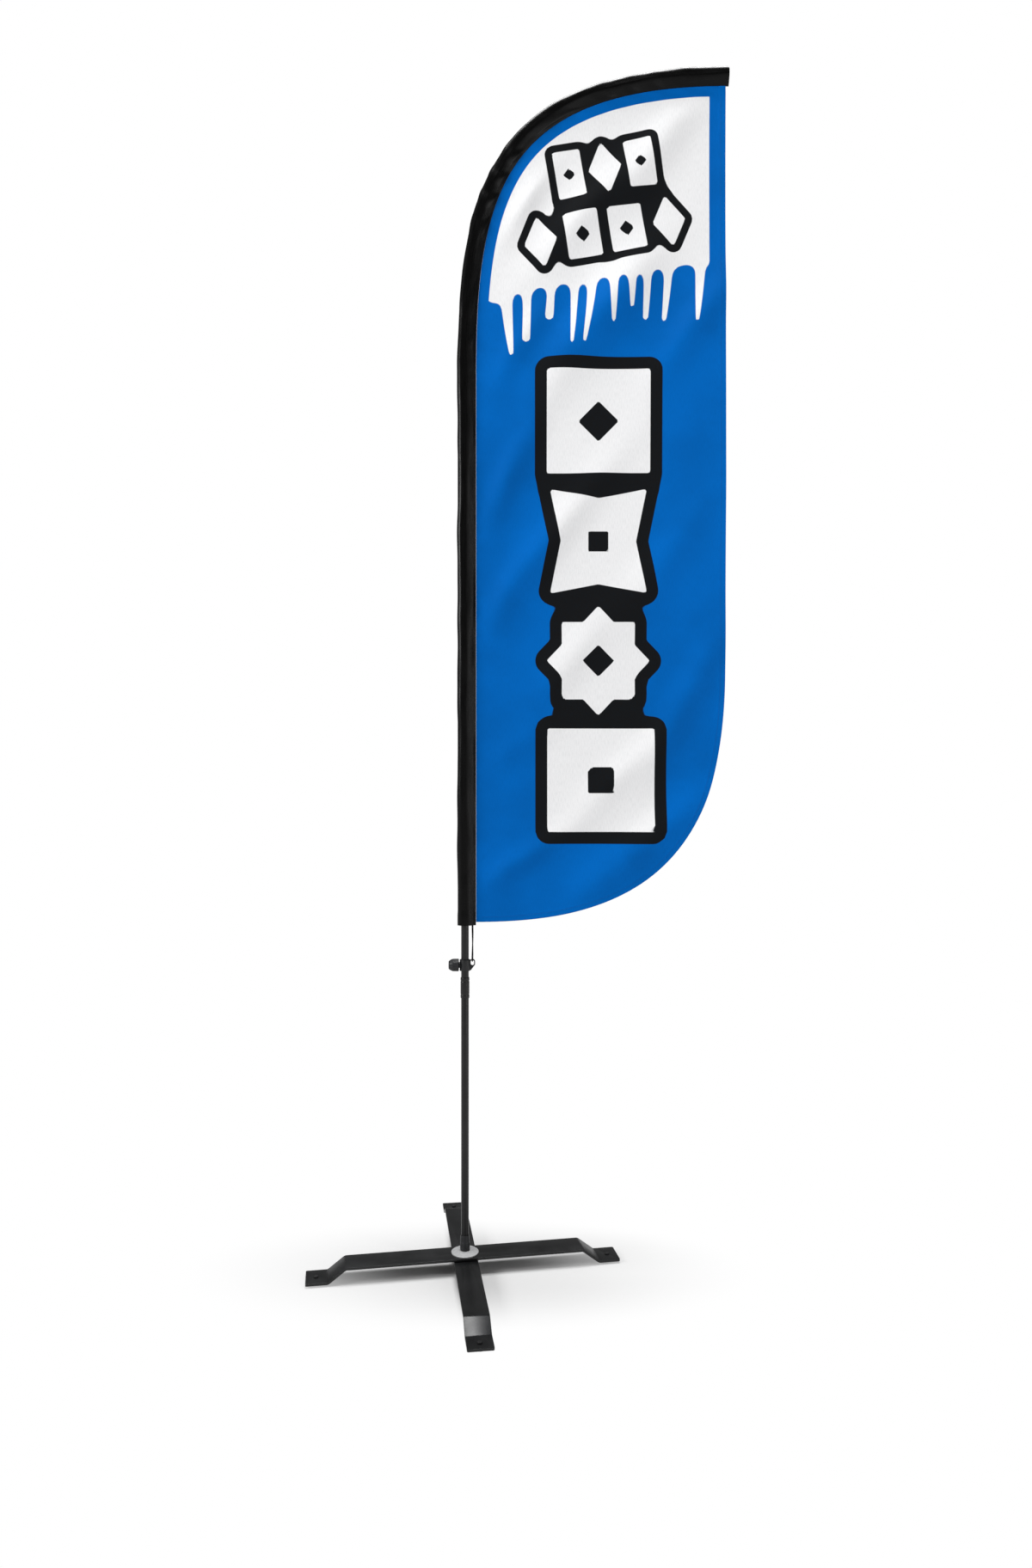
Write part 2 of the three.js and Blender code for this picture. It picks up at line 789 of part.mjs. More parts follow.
function sleeveShape() {
  const shape = pocketShape(0, sleeveFront, SLEEVE_SEAM_THICKNESS / 2);
  const bore = pocketShape(SLEEVE_WALL, sleeveFront - SLEEVE_SEAM_WIDTH, GAP);
  shape.holes.push(bore);
  return shape;
}

place("sleeve", alongMast(sleeveShape(), sleeveFoot, sleeveTop, 4), blackSatin);
place(
  "sleeve_end_patch",
  alongMast(
    pocketShape(0, sleeveFront, SLEEVE_SEAM_THICKNESS / 2),
    mastTop - END_PATCH_THICKNESS,
    mastTop,
    4,
  ),
  blackSatin,
);

// ---- Cloth ----

const clothReach = BEND_REACH - CLOTH_EDGE_INSET;

function clothShape() {
  const edge = sleeveFront + GAP;
  const seam = stations(clothFoot, mastTop)
    .map((along) => besideMast(along, edge))
    .filter((point) => point.x < clothReach - 1);
  const shape = new THREE.Shape();
  shape.moveTo(edge, clothFoot);
  shape.bezierCurveTo(
    edge + CORNER_LEVEL_HANDLE,
    clothFoot,
    clothReach,
    clothFoot + CORNER_HEIGHT - CORNER_UPRIGHT_HANDLE,
    clothReach,
    clothFoot + CORNER_HEIGHT,
  );
  shape.lineTo(clothReach, bend.getPoint(1).z - edge);
  for (const point of seam.slice(1).reverse()) {
    shape.lineTo(point.x, point.z);
  }
  shape.closePath();
  return shape;
}

place("flag_panel", plate(clothShape(), CLOTH_THICKNESS, 20), blueCloth);

// ---- Tension clamp ----

const padRadius = STUD_RADIUS + PRESSURE_PAD_LIP;
const insertRadius = STUD_RADIUS + GAP + INSERT_WALL;
const bossRadius = insertRadius + GAP + BOSS_WALL;
const eyeReach = clampRadius + EYE_OFFSET;
const bossEnd = clampRadius + BOSS_LENGTH;
const insertStart = bossEnd - GAP - INSERT_LENGTH;
const padEnd = poleSocket + PRESSURE_PAD_THICKNESS;
const knobStart = clampRadius + KNOB_FACE_GAP;
const knobEnd = knobStart + KNOB_LENGTH;
const recessEnd = bossEnd + KNOB_FACE_GAP - 2 * GAP;

// Turns a piece made along +Z so that it points out of the clamp, along -X.
function outOfClamp(geometry) {
  return geometry.rotateY(-Math.PI / 2);
}

function lugShape() {
  const top = EYE_ABOVE_MIDDLE + EYE_STRAIGHT / 2;
  const outer = EYE_RADIUS + EYE_WALL;
  const root = poleSocket + (clampRadius - poleSocket) / 4;
  const foot = -CLAMP_HEIGHT / 2 + LUG_INSET;
  const shape = new THREE.Shape();
  shape.moveTo(root, foot);
  shape.lineTo(clampRadius + LUG_FOOT, foot);
  shape.lineTo(eyeReach + outer, EYE_ABOVE_MIDDLE - EYE_STRAIGHT);
  shape.absarc(eyeReach, top, outer, 0, Math.PI / 2, false);
  shape.lineTo(root, CLAMP_HEIGHT / 2 - LUG_INSET);
  shape.closePath();
  return shape;
}

function eyeShape() {
  const shape = new THREE.Shape();
  const straight = EYE_STRAIGHT / 2;
  shape.absarc(eyeReach, EYE_ABOVE_MIDDLE + straight, EYE_RADIUS, 0, Math.PI, false);
  shape.absarc(eyeReach, EYE_ABOVE_MIDDLE - straight, EYE_RADIUS, Math.PI, 2 * Math.PI, false);
  return shape;
}

function clampCollar() {
  const body = join(
    rod(clampRadius, -CLAMP_HEIGHT / 2, CLAMP_HEIGHT / 2),
    outOfClamp(rod(bossRadius, poleSocket, bossEnd)),
    plate(lugShape(), LUG_THICKNESS),
  );
  return cut(
    body,
    rod(poleSocket, -CLAMP_HEIGHT, CLAMP_HEIGHT),
    outOfClamp(rod(padRadius + GAP, 0, bossEnd + BEYOND, PLAIN)),
    outOfClamp(rod(insertRadius + GAP, insertStart - GAP, bossEnd + BEYOND, PLAIN)),
    plate(eyeShape(), LUG_THICKNESS + 2 * BEYOND, 6),
  );
}

function knobProfile() {
  const steps = 6;
  const dome = Array.from({ length: steps + 1 }, (_, i) => {
    const angle = (Math.PI / 2) * (i / steps);
    return [
      KNOB_RADIUS - KNOB_ROUND + KNOB_ROUND * Math.cos(angle),
      knobEnd - KNOB_ROUND + KNOB_ROUND * Math.sin(angle),
    ];
  });
  return [
    [0, knobEnd - KNOB_CAP],
    [STUD_RADIUS + GAP, knobEnd - KNOB_CAP],
    [STUD_RADIUS + GAP, recessEnd],
    [bossRadius + KNOB_RECESS_EASE, recessEnd],
    [bossRadius + KNOB_RECESS_EASE, knobStart],
    [KNOB_RADIUS - KNOB_CHAMFER, knobStart],
    [KNOB_RADIUS, knobStart + KNOB_CHAMFER],
    ...dome,
    [0, knobEnd],
  ];
}

const clamp = new THREE.Group();
clamp.position.z = clampMiddle;
model.add(clamp);

place("clamp_collar", clampCollar(), blackPlastic, clamp);
place(
  "clamp_insert",
  outOfClamp(tube(insertRadius, STUD_RADIUS + GAP, insertStart, insertStart + INSERT_LENGTH)),
  brass,
  clamp,
);
place(
  "pressure_pad",
  outOfClamp(rod(padRadius, poleSocket, padEnd, PLAIN)),
  whiteNylon,
  clamp,
);
place(
  "clamp_stud",
  outOfClamp(rod(STUD_RADIUS, padEnd + GAP, knobEnd - KNOB_CAP - GAP, PLAIN)),
  zinc,
  clamp,
);
place("clamp_knob", outOfClamp(turned(knobProfile())), blackPlastic, clamp);

// ---- Elastic cord ----

place(
  "cord_tab",
  new THREE.BoxGeometry(TAB_WIDTH, TAB_THICKNESS, TAB_HEIGHT).translate(
    poleRadius + TAB_OFFSET,
    0,
    sleeveFoot + TAB_ABOVE_MOUTH + TAB_HEIGHT / 2,
  ),
  blackWebbing,
);

const cordLine = new THREE.CatmullRomCurve3(
  CORD_ROUTE.map(([x, y, z]) => new THREE.Vector3(x, y, z)),
);
place(
  "tension_cord",
  facingOut(
    new THREE.ExtrudeGeometry(disc(CORD_RADIUS, 8), {
      steps: CORD_STEPS,
      bevelEnabled: false,
      extrudePath: cordLine,
    }),
  ),
  blackWebbing,
);

// ---- The whole, standing on its feet with the middle of its floor box at the origin ----

const bounds = new THREE.Box3().setFromObject(model, true);
const middle = bounds.getCenter(new THREE.Vector3());
model.position.set(-middle.x, -middle.y, -bounds.min.z);

const featherFlag = new THREE.Group();
featherFlag.add(model);

export default featherFlag;
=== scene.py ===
"""Looks of a feather flag on a folding cross base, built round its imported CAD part.

Everything is in metres in the part's own frame: +Z up, the cloth in the XZ plane.
"""

import logging
import math
from dataclasses import dataclass, field
from enum import Enum
from typing import Dict, List, Optional, Sequence, Tuple, Union

import bmesh
import bpy
import numpy as np
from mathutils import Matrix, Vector


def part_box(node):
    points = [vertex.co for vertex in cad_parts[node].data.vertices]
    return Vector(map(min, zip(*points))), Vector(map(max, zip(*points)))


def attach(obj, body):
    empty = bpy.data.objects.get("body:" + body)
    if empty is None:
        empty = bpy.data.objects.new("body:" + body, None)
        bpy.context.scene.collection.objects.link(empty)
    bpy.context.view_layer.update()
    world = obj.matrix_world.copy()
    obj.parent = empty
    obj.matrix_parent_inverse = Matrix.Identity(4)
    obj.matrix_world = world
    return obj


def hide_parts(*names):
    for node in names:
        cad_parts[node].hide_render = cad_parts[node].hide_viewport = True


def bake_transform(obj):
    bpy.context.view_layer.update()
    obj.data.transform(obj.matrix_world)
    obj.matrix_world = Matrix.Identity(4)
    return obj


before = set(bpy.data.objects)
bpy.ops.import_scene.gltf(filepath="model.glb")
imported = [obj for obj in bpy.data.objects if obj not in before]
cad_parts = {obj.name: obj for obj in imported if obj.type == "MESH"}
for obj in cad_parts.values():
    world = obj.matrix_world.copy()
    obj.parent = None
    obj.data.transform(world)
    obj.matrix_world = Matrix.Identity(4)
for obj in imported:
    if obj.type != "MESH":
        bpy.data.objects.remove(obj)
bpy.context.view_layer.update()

Array = np.ndarray
Colour = Tuple[float, float, float]
Socket = bpy.types.NodeSocket
Value = Union[float, Sequence[float], Socket]

MM = 0.001
SMOOTH_BELOW = math.radians(38)
BEVEL_ABOVE = math.radians(32)
FLAT_BELOW = math.radians(0.6)
ROUNDING_SHARE = 0.48  # most of a side that the rounding of one corner takes
MIDDLE_OF_NOISE = (0.3, 0.7)  # most of a cloudy noise lies between these
STITCH_RINGS, STITCH_SIDES = 5, 6
STITCH_PITCH = 4.6 * MM
STITCH_RADIUS = 0.35 * MM

log = logging.getLogger("feather_flag")


# ---- Small helpers ----


def srgb(red: int, green: int, blue: int) -> Colour:
    """Linear colour of an 8-bit screen colour."""
    shares = np.array([red, green, blue]) / 255
    linear = np.where(shares <= 0.04045, shares / 12.92, ((shares + 0.055) / 1.055) ** 2.4)
    return tuple(float(share) for share in linear)


def eased(share: Array) -> Array:
    """Smooth step from 0 to 1: three times the square less twice the cube of the clipped share."""
    clipped = np.clip(share, 0, 1)
    return clipped * clipped * (3 - 2 * clipped)


def room(node: str) -> Tuple[Vector, Vector, Vector]:
    """Low corner, middle and high corner of a CAD node's box."""
    low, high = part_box(node)
    return low, (low + high) / 2, high


def unit(vectors: Array) -> Array:
    """Vectors made 1 long."""
    return vectors / np.linalg.norm(vectors, axis=-1, keepdims=True)


def run_along(line: Array) -> Array:
    """Distance of each of a line's places from its start, along the line."""
    return np.concatenate([[0], np.cumsum(np.linalg.norm(np.diff(line, axis=0), axis=1))])


def line_length(line: Array) -> float:
    """Length of a drawn line."""
    return float(run_along(line)[-1])


def evenly(line: Array, steps: int) -> Array:
    """A finely drawn line as steps places with the same distance between them."""
    along = run_along(line)
    wanted = np.linspace(0, along[-1], steps)
    return np.stack([np.interp(wanted, along, column) for column in line.T], -1)


def curve(corners: Sequence[Sequence[float]], steps: int) -> Array:
    """A Bezier curve.

    At share t it is the sum over its corners k = 0 to n of C(n, k) (1-t)^(n-k) t^k corner.

    Args:
        corners: Its three or four corner points.
        steps: Number of places wanted.

    Returns:
        The places, one row each.
    """
    last = len(corners) - 1
    t = np.linspace(0, 1, steps)[:, None]
    return sum(
        math.comb(last, k) * (1 - t) ** (last - k) * t**k * np.asarray(corner, float)
        for k, corner in enumerate(corners)
    )


# ---- Surfaces ----


@dataclass
class Skin:
    """A surface under way.

    Attributes:
        points: Row-frame places, one row each.
        faces: Blocks of faces, each an array with one face per row.
        uv: Place of each point on the flat material, in metres.
        marks: Named numbers, one per point, that materials read.
    """

    points: Array
    faces: List[Array]
    uv: Optional[Array] = None
    marks: Dict[str, Array] = field(default_factory=dict)

    def joined(self, other: "Skin") -> "Skin":
        """Both surfaces as one, without marks or UV."""
        moved = [block + len(self.points) for block in other.faces]
        return Skin(np.vstack([self.points, other.points]), self.faces + moved)

    def faces_out(self) -> "Skin":
        """The same closed surface with its faces outwards.

        The volume is the sum over fan triangles of first corner dot the cross product of the
        other two; below zero, every face is turned round.
        """
        volume = 0.0
        for block in self.faces:
            first = self.points[block[:, 0]]
            for corner in range(1, block.shape[1] - 1):
                second = self.points[block[:, corner]]
                third = self.points[block[:, corner + 1]]
                volume += float((first * np.cross(second, third)).sum())
        if volume < 0:
            self.faces = [block[:, ::-1] for block in self.faces]
        return self

    def make(self, name: str, weld: float = 0.0) -> bpy.types.Object:
        """Puts the surface into a Blender object at the origin.

        Args:
            name: Name of the piece.
            weld: Points closer than this become one, which closes poles; 0 leaves them.

        Returns:
            The new object, linked to the scene, smooth with sharp creases.
        """
        mesh = bpy.data.meshes.new(name)
        faces = [face for block in self.faces for face in block.tolist()]
        mesh.from_pydata(self.points.tolist(), [], faces)
        for mark, values in self.marks.items():
            attribute = mesh.attributes.new(mark, "FLOAT", "POINT")
            attribute.data.foreach_set("value", values.astype(np.float32).ravel())
        if self.uv is not None:
            corners = np.zeros(len(mesh.loops), np.int32)
            mesh.loops.foreach_get("vertex_index", corners)
            layer = mesh.uv_layers.new(name="UVMap")
            layer.data.foreach_set("uv", self.uv[corners].astype(np.float32).ravel())
        if weld:
            shell = bmesh.new()
            shell.from_mesh(mesh)
            bmesh.ops.remove_doubles(shell, verts=shell.verts, dist=weld)
            bmesh.ops.dissolve_degenerate(shell, edges=shell.edges, dist=weld / 10)
            shell.to_mesh(mesh)
            shell.free()
        mesh.validate()
        mesh.shade_smooth()
        mesh.set_sharp_from_angle(angle=SMOOTH_BELOW)
        piece = bpy.data.objects.new(name, mesh)
        bpy.context.scene.collection.objects.link(piece)
        return piece


def lattice(rows: int, columns: int, wrap_rows: bool = False, wrap_columns: bool = False) -> Array:
    """Faces of a grid whose point (row, column) is number row * columns + column.

    Args:
        rows: Number of rows of points.
        columns: Number of points in a row.
        wrap_rows: Whether the last row joins the first.
        wrap_columns: Whether each row is a ring.

    Returns:
        One face of four point numbers per row.
    """
    row = np.arange(rows if wrap_rows else rows - 1)[:, None]
    column = np.arange(columns if wrap_columns else columns - 1)[None, :]
    here, following = row * columns, (row + 1) % rows * columns
    beyond = (column + 1) % columns
    corners = [here + column, here + beyond, following + beyond, following + column]
    return np.stack(corners, -1).reshape(-1, 4)


def band(near: Array, far: Array) -> Array:
    """Faces between two rings of point numbers."""
    return np.stack([near, far, np.roll(far, -1), np.roll(near, -1)], -1)


def rounded(corners: Sequence[Tuple[float, float, float]], closed: bool, steps: int = 4) -> Array:
    """A profile with its corners rounded.

    Each corner is replaced by a curve that it pulls, whose ends lie on the two sides at the
    corner's radius, or nearer where a side is short.

    Args:
        corners: Radius, height and rounding of each corner, in millimetres.
        closed: Whether the last corner joins the first.
        steps: Segments in each rounding.

    Returns:
        The profile's points in metres, one row each.
    """
    places = np.array([corner[:2] for corner in corners], float)
    count = len(places)
    pieces = []
    for index, (_, _, radius) in enumerate(corners):
        here = places[index]
        ends = not closed and index in (0, count - 1)
        if ends or radius == 0:
            pieces.append(here[None])
            continue
        before, after = places[index - 1] - here, places[(index + 1) % count] - here
        shorter = min(np.linalg.norm(before), np.linalg.norm(after))
        reach = min(radius, ROUNDING_SHARE * shorter)
        pieces.append(curve([here + unit(before) * reach, here, here + unit(after) * reach], steps + 1))
    return np.vstack(pieces) * MM


def standing(skin: Skin, node: str) -> Skin:
    """Moves a surface from the Z axis to a CAD node's own axis and foot."""
    low, centre, _ = room(node)
    skin.points = skin.points + (centre.x, centre.y, low.z)
    return skin


def turned(profile: Array, sides: int, closed: bool, flutes: Optional[Array] = None) -> Skin:
    """A surface of revolution about Z.

    Point (i, j) is profile point j turned by i steps, its radius times flutes[i, j].

    Args:
        profile: Radius and height of each point.
        sides: Number of steps round.
        closed: Whether the profile is a ring, as for a tube; otherwise it ends on the axis.
        flutes: Factors on the radius, one row per step round.

    Returns:
        The closed surface, faces outwards.
    """
    angle = np.arange(sides) * (2 * math.pi / sides)
    radius = np.broadcast_to(profile[:, 0], (sides, len(profile)))
    if flutes is not None:
        radius = radius * flutes
    height = np.broadcast_to(profile[:, 1], radius.shape)
    points = np.stack([np.cos(angle)[:, None] * radius, np.sin(angle)[:, None] * radius, height], -1)
    faces = lattice(sides, len(profile), wrap_rows=True, wrap_columns=closed)
    return Skin(points.reshape(-1, 3), [faces]).faces_out()


def tube_along(path: Array, radius: Array, sides: int) -> Skin:
    """A closed tube round a path whose bends lie in planes that hold nearly no X.

    Point (i, j) is path point i plus radius times (cos X' + sin Y'), where X' is the X axis
    made square to the path and Y' is square to both. The ends are flat faces.

    Args:
        path: Places of the centreline, one row each.
        radius: Radius at each place.
        sides: Number of points round.

    Returns:
        The tube, with UV (round, along) in metres.
    """
    tangent = unit(np.gradient(path, axis=0))
    first = unit(np.array([1.0, 0, 0]) - tangent[:, :1] * tangent)
    second = np.cross(tangent, first)
    angle = np.arange(sides) * (2 * math.pi / sides)
    cosine, sine = np.cos(angle)[None, :, None], np.sin(angle)[None, :, None]
    round_it = cosine * first[:, None] + sine * second[:, None]
    points = path[:, None] + radius[:, None, None] * round_it
    uv = np.stack(np.broadcast_arrays(angle[None] * radius.mean(), run_along(path)[:, None]), -1)
    rings = len(path)
    ends = np.array([np.arange(sides), (rings - 1) * sides + np.arange(sides)[::-1]])
    skin = Skin(points.reshape(-1, 3), [lattice(rings, sides, wrap_columns=True), ends])
    skin.uv = uv.reshape(-1, 2)
    return skin.faces_out()


def smooth_route(points: Array, steps: int) -> Array:
    """A smooth curve through points, evenly spaced.

    Between neighbours it is the cubic Hermite curve whose slopes are the mean of the slopes on
    either side, with the distance between points as its parameter.

    Args:
        points: Places that it passes through.
        steps: Number of places wanted.

    Returns:
        The places, evenly spaced along the curve.
    """
    at = run_along(points)
    slope = np.gradient(points, at, axis=0)
    fine = np.linspace(0, at[-1], 40 * len(points))
    index = np.clip(np.searchsorted(at, fine, side="right") - 1, 0, len(points) - 2)
    width = np.diff(at)[index][:, None]
    t = (fine - at[index])[:, None] / width
    route = (
        (2 * t**3 - 3 * t**2 + 1) * points[index]
        + (t**3 - 2 * t**2 + t) * width * slope[index]
        + (3 * t**2 - 2 * t**3) * points[index + 1]
        + (t**3 - t**2) * width * slope[index + 1]
    )
    return evenly(route, steps)


def softened(node: str, name: str, width: float, segments: int = 3) -> bpy.types.Object:
    """A copy of a CAD node with its edges rounded, which stands for the node.

    Args:
        node: CAD node to copy.
        name: Name of the new piece.
        width: Width of the rounding, in metres.
        segments: Faces across it.

    Returns:
        The piece. It is not yet riding on a body.
    """
    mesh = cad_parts[node].data.copy()
    mesh.materials.clear()
    shell = bmesh.new()
    shell.from_mesh(mesh)
    bmesh.ops.remove_doubles(shell, verts=shell.verts, dist=1e-6)
    bmesh.ops.dissolve_limit(shell, angle_limit=FLAT_BELOW, verts=shell.verts, edges=shell.edges)
    shell.to_mesh(mesh)
    shell.free()
    mesh.shade_smooth()
    piece = bpy.data.objects.new(name, mesh)
    bpy.context.scene.collection.objects.link(piece)
    bevel = piece.modifiers.new("rounded edges", "BEVEL")
    bevel.width = width
    bevel.segments = segments
    bevel.limit_method = "ANGLE"
    bevel.angle_limit = BEVEL_ABOVE
    bevel.harden_normals = True
    bevel.use_clamp_overlap = True
    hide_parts(node)
    return piece


def stitches(places: Array, along: Array, out: Array, length: float, radius: float) -> Skin:
    """Short threads lying on a surface.

    Each is a six-sided spindle: at share s of its length its radius is the thread's times the
    square root of 1 - (2s - 1)^2, and it arches out by a third of its radius.

    Args:
        places: Middle of each stitch.
        along: Direction of each, of length 1.
        out: Direction away from the cloth, of length 1.
        length: Length of a stitch.
        radius: Radius of the thread.

    Returns:
        All stitches as one surface.
    """
    share = np.linspace(0.02, 0.98, STITCH_RINGS)
    thick = radius * np.sqrt(1 - (2 * share - 1) ** 2)
    angle = np.arange(STITCH_SIDES) * (2 * math.pi / STITCH_SIDES)
    cosine, sine = np.cos(angle)[:, None], np.sin(angle)[:, None]
    along, out, places = (vectors[:, None, None] for vectors in (along, out, places))
    ring = cosine * np.cross(along, out) + sine * out
    thick = thick[:, None, None]
    line = ((share - 0.5) * length)[:, None, None] * along
    points = places + line + thick / 3 * out + thick * ring
    count = STITCH_RINGS * STITCH_SIDES
    shift = (np.arange(len(places)) * count)[:, None, None]
    sides = lattice(STITCH_RINGS, STITCH_SIDES, wrap_columns=True)[None] + shift
    first = np.arange(STITCH_SIDES)
    caps = np.array([first[::-1], count - STITCH_SIDES + first])[None] + shift
    blocks = [sides.reshape(-1, 4), caps.reshape(-1, STITCH_SIDES)]
    return Skin(points.reshape(-1, 3), blocks).faces_out()


# ---- Finishes ----


class Place(Enum):
    """What a pattern is laid out on."""

    OBJECT = "Object"
    SURFACE = "UV"


class Bench:
    """One material being mixed, with short ways to add and join its nodes."""

    def __init__(self, name: str) -> None:
        """Starts a material of that name."""
        self.material = bpy.data.materials.new(name)
        self.material.use_nodes = True
        self.nodes = self.material.node_tree.nodes
        self.links = self.material.node_tree.links
        self.surface = self.nodes["Principled BSDF"]

    def put(self, socket: Socket, value: Value) -> None:
        """Joins a socket to another, or gives it a number or colour."""
        if isinstance(value, bpy.types.NodeSocket):
            self.links.new(value, socket)
        elif hasattr(value, "__len__") and len(socket.default_value) == 4:
            socket.default_value = (*value[:3], 1.0)
        else:
            socket.default_value = value

    def coordinates(
        self, place: Place, scale: Sequence[float] = (1, 1, 1), centre: Sequence[float] = (0, 0, 0)
    ) -> Socket:
        """Coordinates of a pattern.

        Args:
            place: What they are laid out on.
            scale: Factor along each axis.
            centre: The point that becomes their origin.

        Returns:
            The vector socket.
        """
        source = self.nodes.new("ShaderNodeTexCoord").outputs[place.value]
        mapping = self.nodes.new("ShaderNodeMapping")
        self.put(mapping.inputs["Vector"], source)
        mapping.inputs["Scale"].default_value = scale
        mapping.inputs["Location"].default_value = [-c * s for c, s in zip(centre, scale)]
        return mapping.outputs["Vector"]

    def noise(self, at: Socket, scale: float, detail: float = 3, rough: float = 0.5) -> Socket:
        """Cloudy noise from 0 to 1."""
        node = self.nodes.new("ShaderNodeTexNoise")
        self.put(node.inputs["Vector"], at)
        node.inputs["Scale"].default_value = scale
        node.inputs["Detail"].default_value = detail
        node.inputs["Roughness"].default_value = rough
        return node.outputs["Fac"]

    def cells(self, at: Socket, scale: float) -> Socket:
        """Distance to the nearest of scattered points."""
        node = self.nodes.new("ShaderNodeTexVoronoi")
        self.put(node.inputs["Vector"], at)
        node.inputs["Scale"].default_value = scale
        return node.outputs["Distance"]

    def maths(self, operation: str, *values: Value) -> Socket:
        """One sum on numbers or sockets."""
        node = self.nodes.new("ShaderNodeMath")
        node.operation = operation
        for socket, value in zip(node.inputs, values):
            self.put(socket, value)
        return node.outputs[0]

    def level(
        self, value: Socket, source: Tuple[float, float], target: Tuple[float, float] = (0, 1)
    ) -> Socket:
        """A value moved smoothly from one range to another, and kept inside it."""
        node = self.nodes.new("ShaderNodeMapRange")
        node.interpolation_type = "SMOOTHSTEP"
        self.put(node.inputs["Value"], value)
        for name, number in zip(("From Min", "From Max", "To Min", "To Max"), (*source, *target)):
            node.inputs[name].default_value = number
        return node.outputs["Result"]

    def mark(self, name: str) -> Socket:
        """Number that each point of the piece carries under that name."""
        node = self.nodes.new("ShaderNodeAttribute")
        node.attribute_name = name
        return node.outputs["Fac"]

    def parts(self, vector: Socket) -> List[Socket]:
        """The X, Y and Z of a vector."""
        node = self.nodes.new("ShaderNodeSeparateXYZ")
        self.put(node.inputs[0], vector)
        return list(node.outputs)

    def mixed(self, share: Value, first: Value, second: Value) -> Socket:
        """Colour between two, by a share from 0 to 1."""
        node = self.nodes.new("ShaderNodeMix")
        node.data_type = "RGBA"
        self.put(node.inputs[0], share)
        self.put(node.inputs[6], first)
        self.put(node.inputs[7], second)
        return node.outputs[2]

    def bump(self, height: Socket, strength: float, depth: float, over: Optional[Socket] = None) -> Socket:
        """Normal of a relief of that depth in metres, over another where one is given."""
        node = self.nodes.new("ShaderNodeBump")
        node.inputs["Strength"].default_value = strength
        node.inputs["Distance"].default_value = depth
        self.put(node.inputs["Height"], height)
        if over is not None:
            self.put(node.inputs["Normal"], over)
        return node.outputs["Normal"]

    def edges(self) -> Socket:
        """How much a spot stands out: about 0.5 on flat faces and more on ridges."""
        return self.nodes.new("ShaderNodeNewGeometry").outputs["Pointiness"]

    def done(self, **settings: Value) -> bpy.types.Material:
        """Sets the surface's sockets, underscores for spaces, and returns the material."""
        for name, value in settings.items():
            self.put(self.surface.inputs[name.replace("_", " ")], value)
        return self.material


@dataclass(frozen=True)
class CoatedMetal:
    """Powder coat or paint on metal: an orange-peel relief, faint dust, and rubbed edges."""

    name: str
    colour: Colour
    rubbed: Colour
    roughness: float = 0.5
    peel: float = 0.35
    lengthwise: float = 1.0
    gloss: float = 0.35
    ridges: Tuple[float, float] = (0.53, 0.62)
    cloud_scale: float = 14
    peel_scale: float = 900
    scratch_scale: float = 420
    wear_scale: float = 160

    def make(self) -> bpy.types.Material:
        """Mixes the material."""
        bench = Bench(self.name)
        at = bench.coordinates(Place.OBJECT)
        drawn = bench.coordinates(Place.OBJECT, (1, 1, 1 / self.lengthwise))
        clouds = bench.noise(at, self.cloud_scale, 4, 0.6)
        fine = bench.noise(at, self.peel_scale, 2, 0.5)
        scratches = bench.level(bench.noise(drawn, self.scratch_scale, 3, 0.7), (0.66, 0.74))
        ridge = bench.level(bench.edges(), self.ridges)
        patches = bench.level(bench.noise(at, self.wear_scale, 4), (0.42, 0.6))
        worn = bench.maths("MULTIPLY", ridge, patches)
        light = tuple(min(1.0, c * 1.5 + 0.004) for c in self.colour)
        dusty = bench.mixed(bench.level(clouds, (0.35, 0.75)), self.colour, light)
        marked = bench.mixed(bench.maths("MULTIPLY", scratches, 0.35), dusty, self.rubbed)
        colour = bench.mixed(bench.maths("MULTIPLY", worn, 0.6), marked, self.rubbed)
        low, high = self.roughness - 0.03, self.roughness + 0.05
        return bench.done(
            Base_Color=colour,
            Roughness=bench.level(clouds, MIDDLE_OF_NOISE, (low, high)),
            Specular_IOR_Level=self.gloss,
            Normal=bench.bump(fine, self.peel, 0.0003, bench.bump(scratches, 0.2, 0.0001)),
        )


@dataclass(frozen=True)
class BareMetal:
    """Plated or bare metal with turning marks about an upright axis and a cloudy surface."""

    name: str
    colour: Colour
    dull: Colour
    roughness: float = 0.35
    centre: Tuple[float, float] = (0.0, 0.0)
    ring_pitch: float = 0.0011
    metallic: float = 1.0
    cloud_scale: float = 90
    spot_scale: float = 240
    jitter_scale: float = 60

    def make(self) -> bpy.types.Material:
        """Mixes the material."""
        bench = Bench(self.name)
        at = bench.coordinates(Place.OBJECT)
        x, y, z = bench.parts(bench.coordinates(Place.OBJECT, (1, 1, 1), (*self.centre, 0)))
        square = bench.maths("ADD", bench.maths("MULTIPLY", x, x), bench.maths("MULTIPLY", y, y))
        radius = bench.maths("ADD", bench.maths("SQRT", square), z)
        jitter = bench.maths("MULTIPLY", bench.noise(at, self.jitter_scale, 2), self.ring_pitch)
        turns = bench.maths("MULTIPLY", bench.maths("ADD", radius, jitter), 2 * math.pi / self.ring_pitch)
        rings = bench.maths("SINE", turns)
        clouds = bench.noise(at, self.cloud_scale, 4, 0.65)
        spots = bench.level(bench.cells(at, self.spot_scale), (0.02, 0.22), (1, 0))
        tone = bench.mixed(bench.level(clouds, (0.3, 0.75)), self.colour, self.dull)
        colour = bench.mixed(bench.maths("MULTIPLY", spots, 0.12), tone, self.dull)
        low, high = self.roughness - 0.08, self.roughness + 0.12
        return bench.done(
            Base_Color=colour,
            Metallic=self.metallic,
            Roughness=bench.level(clouds, MIDDLE_OF_NOISE, (low, high)),
            Normal=bench.bump(rings, 0.12, 0.00005),
        )


